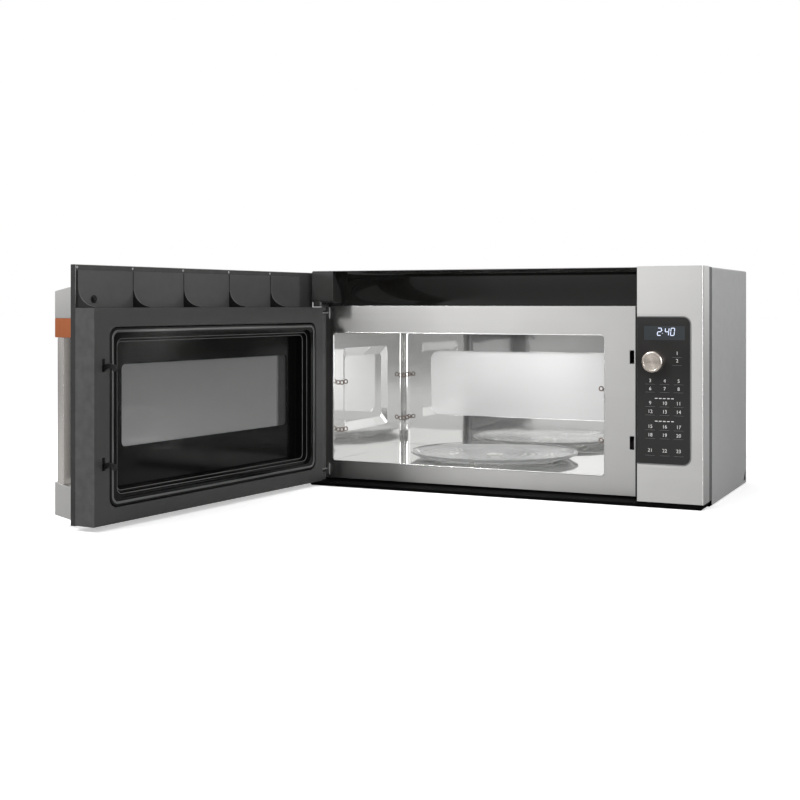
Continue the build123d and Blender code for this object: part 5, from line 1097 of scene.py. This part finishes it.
class MICROWAVE_OT_air_guide(PieceOperator):
    """Makes the door's top panel with its row of hollow-curved webs, their lower sides painted black
    as shade.
    """
    bl_idname = "microwave.air_guide"
    bl_label = "Air Guide"

    def make(self, context):
        low, high = 0.1362, 0.1942
        reach, web, squat = 0.0357, 0.0024, 0.76
        back = Y_FLANGE + 0.0018
        panel = block((X_LEFT + 0.0490, Y_FLANGE + 0.0001, low),
                      (X_LEFT + 0.6402, back, high))
        master = block((-web / 2, back - 0.0002, low), (web / 2, back + reach, low + reach))
        edit(master)
        pick(master, lambda at, way: abs(way.x) > 0.001 and at.y > back + reach - 0.001
             and at.z > low + reach - 0.001, "EDGE")
        bpy.ops.mesh.bevel(offset=reach - 0.0022, segments=10, profile=0.10)
        bpy.ops.mesh.select_all(action="SELECT")
        bpy.ops.transform.resize(value=(1.0, 1.0, squat), center_override=(0.0, back, low))
        leave()
        ridge = block((-web / 2, back - 0.0002, low), (web / 2, back + 0.0012, high))
        pieces = [panel]
        for x in WEBS:
            across = Matrix.Translation((X_LEFT + x * MM, 0, 0))
            pieces += [twin(master, across), twin(ridge, across)]
        for spare in (master, ridge):
            bpy.data.objects.remove(spare)
        guide = unite(pieces)
        round_edges(guide, 0.0004)
        guide = stand_for(guide, "door_air_guide", "guide_grey", opened=True)
        # Painted shade: the webs' lower side faces get the black finish.
        second_finish(guide, "hook_black", lambda at, normal: at.z < low + reach
                      and abs(turned_across(normal)) > SIDEWAYS)
        peg = lathe([(0.0, -0.0030), (0.0032, -0.0030), (0.0036, -0.0026), (0.0036, -0.0008),
                     (0.0062, -0.0008), (0.0066, -0.0004), (0.0066, 0.0), (0.0, 0.0)],
                    Vector((X_LEFT + 0.605, back, Z_SILL + 0.3465)), "Y", 32)
        smooth(peg, 40.0)
        hang_on_door(peg, "air_guide_peg", "hook_black")


class MICROWAVE_OT_end_cap(PieceOperator):
    """Makes the rounded cap beside the vent grille, and the small cover over the hinge."""
    bl_idname = "microwave.end_cap"
    bl_label = "Grille End Cap"

    def make(self, context):
        foot_low, foot_high = 0.155, 0.180
        cap = merged_copy("grille_end_cap")
        edit(cap)
        pick(cap, lambda at, way: foot_low < at.z < foot_high and at.y < -0.355, "VERT")
        bpy.ops.transform.resize(value=(1.0, 0.4, 0.35), center_override=(-0.3796, -0.380, 0.158))
        pick(cap, lambda at, way: foot_low < at.z < foot_high, "VERT")
        bpy.ops.transform.translate(value=(0, 0, -0.014))
        leave()
        round_edges(cap, context.scene.microwave_detail.moulded_edge * 1.3)
        stand_for(cap, "grille_end_cap", "cap_black")
        cover = block((-0.3789, -0.3790, 0.1366), (-0.3590, -0.3432, 0.1480))
        round_along(cover, 2, 0.0050, 5)
        round_edges(cover, 0.0006)
        set_beside(cover, "hinge_cover", "grille_end_cap", "cap_black")


class MICROWAVE_OT_liner(PieceOperator):
    """Makes the polished oven liner with its pressed panels rounded."""
    bl_idname = "microwave.liner"
    bl_label = "Oven Liner"

    def make(self, context):
        pressed_front, pressed_back = -0.0062, -0.0030
        liner = soft_piece("oven_cavity", "liner", 0.0018, 3, 12.0)
        second_finish(liner, "liner_panel", lambda at, normal: normal.y < -0.9
                      and pressed_front < at.y < pressed_back and -0.30 < at.x < 0.14)


class MICROWAVE_OT_opening_bead(PieceOperator):
    """Frames the oven opening with its thin bright bead."""
    bl_idname = "microwave.opening_bead"
    bl_label = "Opening Bead"

    def make(self, context):
        bead = flat_ring((-0.3534, -0.1644), (0.1937, 0.0872), 0.0068, 0.0016,
                         Y_FACE - 0.0004, 0.0009, 0.0004)
        place(bead, "opening_bead", "case", "rim_steel")


class MICROWAVE_OT_panel_rim(PieceOperator):
    """Frames the touch glass with a grey ring of painted shade for its sunk bevel, backs the display,
    and puts a dark strip of painted shade in the gap beside the fascia.
    """
    bl_idname = "microwave.panel_rim"
    bl_label = "Panel Rim"

    def make(self, context):
        low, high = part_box("touch_panel")
        past = 0.0016
        # Painted shade: a grey ring where the fascia's sunk bevel round the glass looks darker.
        rim = flat_ring((low.x - 0.0100, low.z - past), (high.x + past, high.z + past),
                        0.0140, 0.0020, Y_FRONT - 0.0001, 0.0005, 0.0002)
        edit(rim)
        bpy.ops.mesh.select_all(action="SELECT")
        bpy.ops.mesh.bisect(plane_co=(X_FASCIA + 0.0006, 0.0, 0.0), plane_no=(1.0, 0.0, 0.0),
                            clear_inner=True, use_fill=True)
        leave()
        place(rim, "panel_rim", "case", "bevel_shade_grey")

        x0, z0 = from_sill(657.0, 277.5)
        x1, z1 = from_sill(727.0, 301.2)
        pane = block((x0, Y_GLASS - 0.00005, z0), (x1, Y_GLASS + 0.0001, z1))
        round_along(pane, 1, 0.0012, 4)
        place(pane, "display_pane", "case", "display_glass")

        # Painted shade: a dark strip in the gap beside the fascia.
        gap_shade_strip = soft_block((X_FASCIA - 0.0165, Y_FACE - 0.0007, Z_SILL + 0.0002),
                          (X_FASCIA - 0.0002, Y_FACE + 0.0004, 0.1380), 0.0002)
        place(gap_shade_strip, "fascia_gap_shade", "case", "gap_shade")


class MICROWAVE_OT_rack_clips(PieceOperator):
    """Makes the two-eyed rack supports on both side walls."""
    bl_idname = "microwave.rack_clips"
    bl_label = "Rack Clips"

    def make(self, context):
        low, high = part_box("rack_clips")
        spots = [(wall + side * reach, y, z + lift)
                 for wall, side in LINER_WALLS
                 for y in (low.y + 0.0015, high.y - 0.0015)
                 for z in RACK_HEIGHTS
                 for reach, lift in ((0.0040, 0.0), (0.01275, 0.0020))]
        clips = unite([self.eye(spot) for spot in spots])
        smooth(clips, 60.0)
        stand_for(clips, "rack_clips", "clip_metal", "rack_clip_eyes")

    def eye(self, spot):
        """One wire eye that faces the front."""
        deselect()
        bpy.ops.mesh.primitive_torus_add(
            major_radius=0.0038, minor_radius=0.0011, major_segments=24, minor_segments=8,
            rotation=(math.radians(90), 0, 0), location=spot)
        return bpy.context.active_object


class MICROWAVE_OT_base_parts(PieceOperator):
    """Dresses the grease filters and the ribbed lamp covers under the case."""
    bl_idname = "microwave.base_parts"
    bl_label = "Base Parts"

    def make(self, context):
        rim = 0.0095
        for node in ("grease_filter_left", "grease_filter_right"):
            low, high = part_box(node)
            pad = soft_piece(node, "aluminium", 0.0005)
            second_finish(pad, "filter_mesh", lambda at, normal: abs(normal.z) > 0.9
                          and low.x + rim < at.x < high.x - rim
                          and low.y + 0.0240 < at.y < high.y - rim)
        master = soft_block((-0.0009, -0.0140, -0.20692), (0.0009, 0.0140, -0.2062), 0.0003, 3)
        ribs = []
        for first in (140.0, 540.0):
            for step in range(22):
                across = X_LEFT + (first + step * 3.8) * MM
                ribs.append(twin(master, Matrix.Translation((across, -0.303, 0))))
        bpy.data.objects.remove(master)
        set_beside(unite(ribs), "lamp_cover_ribs", "surface_lamp_covers", "lamp_glass")


class MICROWAVE_OT_turntable(PieceOperator):
    """Turns the pressed glass tray with its rings and raised rim."""
    bl_idname = "microwave.turntable"
    bl_label = "Glass Turntable"

    def make(self, context):
        low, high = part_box("glass_turntable")
        reach = (high.x - low.x) / 2
        rise = high.z - low.z
        thick, flat, sunk = 0.0042, 0.146, 0.0005
        profile = [(0.0, thick)]
        for ring in range(1, 9):
            radius = flat * ring / 9
            profile += [(radius - 0.0030, thick), (radius - 0.0012, thick - sunk),
                        (radius + 0.0012, thick - sunk), (radius + 0.0030, thick)]
        profile += [(flat, thick), (flat + 0.006, thick + 0.0004),
                    (reach - 0.008, rise - 0.0012), (reach - 0.0035, rise - 0.0002),
                    (reach - 0.0015, rise), (reach - 0.0003, rise - 0.0008),
                    (reach, rise - 0.002), (reach - 0.0006, rise - 0.0036),
                    (flat + 0.004, 0.0002), (flat, 0.0), (0.0, 0.0)]
        tray = lathe(profile, Vector(((low.x + high.x) / 2, (low.y + high.y) / 2, low.z)))
        smooth(tray, 50.0)
        stand_for(tray, "glass_turntable", "tray_glass", "pressed_glass_tray")


class MICROWAVE_OT_dial(PieceOperator):
    """Turns the metal dial with its flared foot and chamfered face."""
    bl_idname = "microwave.dial"
    bl_label = "Dial"

    def make(self, context):
        low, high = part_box("dial_knob")
        reach = (high.x - low.x) / 2 + 0.0009
        deep = high.y - low.y
        centre = Vector(((low.x + high.x) / 2, high.y, (low.z + high.z) / 2))
        profile = [(0.0042, 0.0), (reach - 0.0012, 0.0), (reach - 0.0003, 0.0003),
                   (reach, 0.0012), (reach - 0.0002, 0.0024), (reach - 0.0011, 0.0032),
                   (reach - 0.0013, deep - 0.0022), (reach - 0.0017, deep - 0.0012),
                   (reach - 0.0030, deep - 0.0003), (reach - 0.0042, deep),
                   (reach - 0.0050, deep - 0.0001), (reach - 0.0054, deep - 0.0005),
                   (0.0, deep - 0.0007)]
        knob = lathe(profile, centre, "Y")
        smooth(knob, 30.0)
        modify(knob, "BEVEL", width=0.00015, segments=2, limit_method="ANGLE",
               angle_limit=math.radians(20))
        smooth(knob, 30.0)
        stand_for(knob, "dial_knob", "spun", "spun_dial")


SEGMENTS = {"0": "abcdef", "1": "bc", "2": "abged", "3": "abgcd", "4": "fgbc", "5": "afgcd",
            "6": "afgecd", "7": "abc", "8": "abcdefg", "9": "abcdfg"}


def segment_bar(centre, long, wide, upright):
    """One bar of a seven-segment digit with its pointed ends."""
    bar = standing_plane(centre, *((wide, long) if upright else (long, wide)))
    edit(bar)
    everything("VERT")
    bpy.ops.mesh.bevel(offset=wide * 0.42, segments=1, affect="VERTICES")
    leave()
    return bar


class MICROWAVE_OT_display(PieceOperator):
    """Lights the clock's digits on the dark glass."""
    bl_idname = "microwave.display"
    bl_label = "Clock Digits"

    def make(self, context):
        x, z = from_sill(680.5, 291.6)
        digits = unite(self.bars(context.scene.microwave_detail.time, x, z))
        edit(digits)
        bpy.ops.mesh.select_all(action="SELECT")
        bpy.ops.mesh.extrude_region_move(TRANSFORM_OT_translate={"value": (0, 0.0001, 0)})
        face_outwards()
        leave()
        lean = math.tan(math.radians(6))
        slant = Matrix.Identity(4)
        slant[0][2] = lean
        slant[0][3] = -z * lean
        digits.data.transform(slant)
        place(digits, "clock_digits", "case", "digits")

    def bars(self, text, x, z):
        """The bars of the digits and the dots of the colon, from a place to the right."""
        half, wide, bar, gap = 0.00625, 0.0062, 0.0013, 0.0034
        side = wide / 2
        front = Y_GLASS - 0.00018
        spots = {"a": (0, half, False), "g": (0, 0, False), "d": (0, -half, False),
                 "b": (side, half / 2, True), "c": (side, -half / 2, True),
                 "f": (-side, half / 2, True), "e": (-side, -half / 2, True)}
        rows = []
        for sign in text:
            if sign == ":":
                rows += [(x - 0.0012, z + up, bar, True) for up in (-0.0026, 0.0026)]
                x += gap
                continue
            for letter in SEGMENTS[sign]:
                dx, dz, upright = spots[letter]
                size = (half if upright else wide) - bar * 0.35
                rows.append((x + side + dx, z + dz, size, upright))
            x += wide + gap
        return [segment_bar((px, front, pz), size, bar, up) for px, pz, size, up in rows]


def numeral(text, x, z, size):
    """A printed numeral on the touch glass."""
    deselect()
    bpy.ops.object.text_add(location=(x, Y_GLASS - 0.00006, z),
                            rotation=(math.radians(90), 0, 0))
    words = bpy.context.active_object.data
    words.body = text
    words.size = size
    words.align_x = "CENTER"
    words.align_y = "CENTER"
    words.extrude = 0.00004
    bpy.ops.object.convert(target="MESH")
    return bpy.context.active_object


class MICROWAVE_OT_legends(PieceOperator):
    """Prints plain numerals and fine rules on the touch glass."""
    bl_idname = "microwave.legends"
    bl_label = "Key Numerals"

    def make(self, context):
        size, rule_half, head_half = 0.0084, 0.00016, 0.0007
        # Each key: its middle across, its numeral's height and its rule's, then the rule's width.
        keys = [(714.0, 254.9, 248.1, 16.0), (714.0, 242.2, 234.5, 16.0)]
        for z, line in ((207.7, 201.7), (194.1, 188.1), (169.4, 163.4), (154.9, 148.9),
                        (129.3, 123.4), (114.8, 108.9), (88.4, 79.9)):
            keys += [(x, z, line, 16.5) for x in (667.6, 692.6, 716.5)]
        pieces = [numeral(str(count), *from_sill(key[0], key[1]), size)
                  for count, key in enumerate(keys, 1)]
        pieces += [self.bar(692.0 + step * 7.0, z, 4.6, head_half)
                   for z in (177.7, 138.7) for step in (-2, -1, 0, 1, 2)]
        place(unite(pieces), "key_numerals", "case", "ink")
        rules = [self.bar(x, line, wide, rule_half) for x, z, line, wide in keys]
        place(unite(rules), "key_rules", "case", "dim_ink")

    def bar(self, x, z, wide, half_tall):
        """A printed bar, its middle and width in mm."""
        px, pz = from_sill(x, z)
        half = wide * MM / 2
        return block((px - half, Y_GLASS - 0.0001, pz - half_tall),
                     (px + half, Y_GLASS - 0.00001, pz + half_tall))


def make_screw(radius, rise):
    """A pan-head screw with a cross recess, at the origin and facing up."""
    profile = [(0.0, -0.0004), (radius, -0.0004), (radius, rise * 0.25),
               (radius * 0.93, rise * 0.55), (radius * 0.74, rise * 0.85),
               (radius * 0.4, rise * 0.98), (0.0, rise)]
    head = lathe(profile, Vector((0, 0, 0)), "Z", 20)
    long, wide = radius * 0.62, radius * 0.14
    for x, y in ((long, wide), (wide, long)):
        cutter = block((-x, -y, rise * 0.45), (x, y, rise * 1.4))
        modify(head, "BOOLEAN", operation="DIFFERENCE", object=cutter, solver="EXACT")
        bpy.data.objects.remove(cutter)
    smooth(head, 30.0)
    return head


def screws(name, body, slot, spots, facing, radius, rise):
    """A group of like screws at the given places, their heads facing one way."""
    first_spin, next_spin = 17, 31
    master = make_screw(radius, rise)
    turn = Vector((0, 0, 1)).rotation_difference(Vector(facing)).to_matrix().to_4x4()
    pieces = []
    for index, spot in enumerate(spots):
        spin = Matrix.Rotation(math.radians(first_spin + next_spin * index), 4, "Z")
        pieces.append(twin(master, Matrix.Translation(spot) @ turn @ spin))
    bpy.data.objects.remove(master)
    for piece in pieces:
        activate(piece)
        settle()
    return place(unite(pieces), name, body, "screw_steel", (), body == "door")


class MICROWAVE_OT_screws(PieceOperator):
    """Sets the small screws on the door, the case and the rear."""
    bl_idname = "microwave.screws"
    bl_label = "Screws"

    def make(self, context):
        edge = [(0.2623, -0.3885, Z_SILL + z * MM) for z in (388.0, 332.7, 50.0, 11.6)]
        ribs = [(X_LEFT + x * MM, -0.3832, Z_SILL + 0.3955) for x in WEBS]
        tops = [(x, y, 0.20595) for x in (-0.350, 0.0, 0.350) for y in (-0.300, -0.040)]
        rears = [(x, -0.0021, z) for x in (-0.373, 0.373) for z in (-0.190, 0.0, 0.190)]
        rears += [(x, -0.0021, -0.192) for x in (-0.2, 0.0, 0.2)]
        sides = [(X_LEFT + 0.0001, y, z) for y in (-0.290, -0.030) for z in (-0.150, 0.150)]
        for row in (
                ("door_edge_screws", "door", "stainless", edge, (1, 0, 0), 0.0026, 0.0012),
                ("air_guide_screws", "door", "stainless", ribs, (0, 1, 0), 0.0022, 0.0010),
                ("case_top_screws", "case", "case_paint", tops, (0, 0, 1), 0.0040, 0.0009),
                ("rear_panel_screws", "case", "galvanised", rears, (0, 1, 0), 0.0034, 0.0016),
                ("case_side_screws", "case", "case_paint", sides, (-1, 0, 0), 0.0036, 0.0012)):
            screws(*row)


# ---------------------------------------------------------------- stage

def soft_light(name, location, target, size, energy, tall=None):
    """A rectangular area light that points at a target."""
    deselect()
    bpy.ops.object.light_add(type="AREA", location=location)
    lamp = bpy.context.active_object
    lamp.name = name
    lamp.data.shape = "RECTANGLE"
    lamp.data.size = size
    lamp.data.size_y = tall or size
    lamp.data.energy = energy
    way = Vector(target) - lamp.location
    lamp.rotation_euler = way.to_track_quat("-Z", "Y").to_euler()
    return lamp


def studio_world(strength):
    """White behind the part, and soft studio light from everywhere else."""
    world = bpy.data.worlds.new("Studio")
    bpy.context.scene.world = world
    world.use_nodes = True
    net = Net(world.node_tree)
    plain = world.node_tree.nodes["Background"]
    plain.inputs["Color"].default_value = (1, 1, 1, 1)
    plain.inputs["Strength"].default_value = 1.0
    parts = net.parts(net.add("ShaderNodeTexCoord").outputs["Generated"])
    height = net.math("MULTIPLY_ADD", parts["Z"], 0.5, 0.5)
    ramp = net.add("ShaderNodeValToRGB", Fac=height)
    steps = ramp.color_ramp.elements
    steps[0].color = (*grey(0.55), 1.0)
    steps[1].color = (*grey(0.40), 1.0)
    for position in (0.5, 0.72):
        steps.new(position).color = (*grey(1.0), 1.0)
    side = net.ramp(parts["X"], 0.10, 0.90, strength, strength * 0.55)
    soft = net.add("ShaderNodeBackground", Color=ramp.outputs["Color"], Strength=side)
    path = net.add("ShaderNodeLightPath")
    net.show(path.outputs["Is Camera Ray"], soft, plain, "World Output")


def floor_finish():
    """Pale seamless paper with a faint tooth."""
    paper = Finish("studio_paper", grey(0.92), 0.0, 0.9)
    tooth = paper.group("speckle", Size=0.002)
    paper.shade(tooth["Patches"], grey(0.91), grey(0.93))
    paper.put(Emission_Color=(1.0, 1.0, 1.0, 1.0), Emission_Strength=0.42)
    paper.bump(tooth["Height"], 0.05, 0.0003)
    path = paper.add("ShaderNodeLightPath")
    dim = paper.add("ShaderNodeBsdfDiffuse", Color=(*grey(0.42), 1.0))
    paper.show(path.outputs["Is Camera Ray"], dim, paper.bsdf)
    return paper.material


class MICROWAVE_OT_stage(PieceOperator):
    """Sets the camera, the pale floor and the studio lights."""
    bl_idname = "microwave.stage"
    bl_label = "Stage"

    def make(self, context):
        stage = context.scene.microwave_stage
        self.set_camera(context.scene, stage.lens)
        self.lay_floor()
        studio_world(stage.sky)
        key = stage.key
        soft_light("key_light", (-0.9, -2.6, 1.9), (0.0, -0.3, 0.0), 1.6, key)
        soft_light("fill_light", (2.4, -0.9, 1.0), (0.2, -0.3, 0.0), 1.4, key * 0.3)
        soft_light("left_light", (-1.55, -2.6, 2.2), (-0.33, -0.34, 0.12), 0.35, key * 1.7)
        soft_light("edge_light", (1.8, -2.1, 0.2), (0.38, -0.39, 0.0), 0.45, key * 0.8, 1.8)
        soft_light("top_light", (0.1, -0.5, 2.6), (0.0, -0.4, 0.0), 1.8, key * 0.6)
        lamp = soft_light("oven_lamp", (-0.08, -0.18, 0.080), (-0.08, -0.18, -0.2), 0.30,
                          stage.lamp)
        lamp.visible_glossy = False
        context.scene.view_settings.view_transform = "Standard"

    def set_camera(self, scene, lens):
        """Stands the camera where the photograph was taken from."""
        bpy.ops.object.camera_add(location=CAMERA_PLACE,
                                  rotation=(math.radians(90), 0, CAMERA_TURN))
        camera = bpy.context.active_object
        camera.name = "photo_camera"
        camera.data.lens = lens
        camera.data.sensor_width = 36.0
        camera.data.shift_y = CAMERA_SHIFT
        camera.data.clip_start = 0.01
        scene.camera = camera

    def lay_floor(self):
        """Lays the pale floor level with the part's underside."""
        deselect()
        bpy.ops.mesh.primitive_plane_add(size=60.0, location=(0, 0, CAD_BOX[0][2]))
        floor = bpy.context.active_object
        settle()
        floor.name = "pale_floor"
        floor.data.materials.append(floor_finish())


# ---------------------------------------------------------------- panel and registration

class MICROWAVE_PT_sidebar(bpy.types.Panel):
    """Lists the steps that dress the microwave."""
    bl_idname = "MICROWAVE_PT_sidebar"
    bl_label = "Microwave"
    bl_space_type = "VIEW_3D"
    bl_region_type = "UI"
    bl_category = "Microwave"

    def draw(self, context):
        for operator in PIECES:
            self.layout.operator(operator.bl_idname)
        for group in SETTINGS:
            settings = getattr(context.scene, group)
            box = self.layout.box()
            for key in settings.bl_rna.properties.keys():
                if key not in ("rna_type", "name"):
                    box.prop(settings, key)


SETTINGS = {"microwave_finish": MicrowaveFinish, "microwave_detail": MicrowaveDetail,
            "microwave_stage": MicrowaveStage}
PIECES = (MICROWAVE_OT_stage, MICROWAVE_OT_inner_finishes, MICROWAVE_OT_shells,
          MICROWAVE_OT_window, MICROWAVE_OT_air_guide, MICROWAVE_OT_end_cap,
          MICROWAVE_OT_liner, MICROWAVE_OT_opening_bead, MICROWAVE_OT_panel_rim,
          MICROWAVE_OT_rack_clips, MICROWAVE_OT_base_parts, MICROWAVE_OT_turntable,
          MICROWAVE_OT_dial, MICROWAVE_OT_display, MICROWAVE_OT_legends, MICROWAVE_OT_screws)
CLASSES = (*SETTINGS.values(), *PIECES, MICROWAVE_PT_sidebar)


def register():
    """Registers the settings, the operators and the panel."""
    for cls in CLASSES:
        bpy.utils.register_class(cls)
    for name, group in SETTINGS.items():
        setattr(bpy.types.Scene, name, PointerProperty(type=group))


def unregister():
    """Removes what register added."""
    for name in SETTINGS:
        delattr(bpy.types.Scene, name)
    for cls in reversed(CLASSES):
        bpy.utils.unregister_class(cls)


def main():
    """Builds the dressed microwave."""
    register()
    deselect()
    for operator in PIECES:
        group, name = operator.bl_idname.split(".")
        getattr(getattr(bpy.ops, group), name)()


if __name__ == "__main__":
    main()
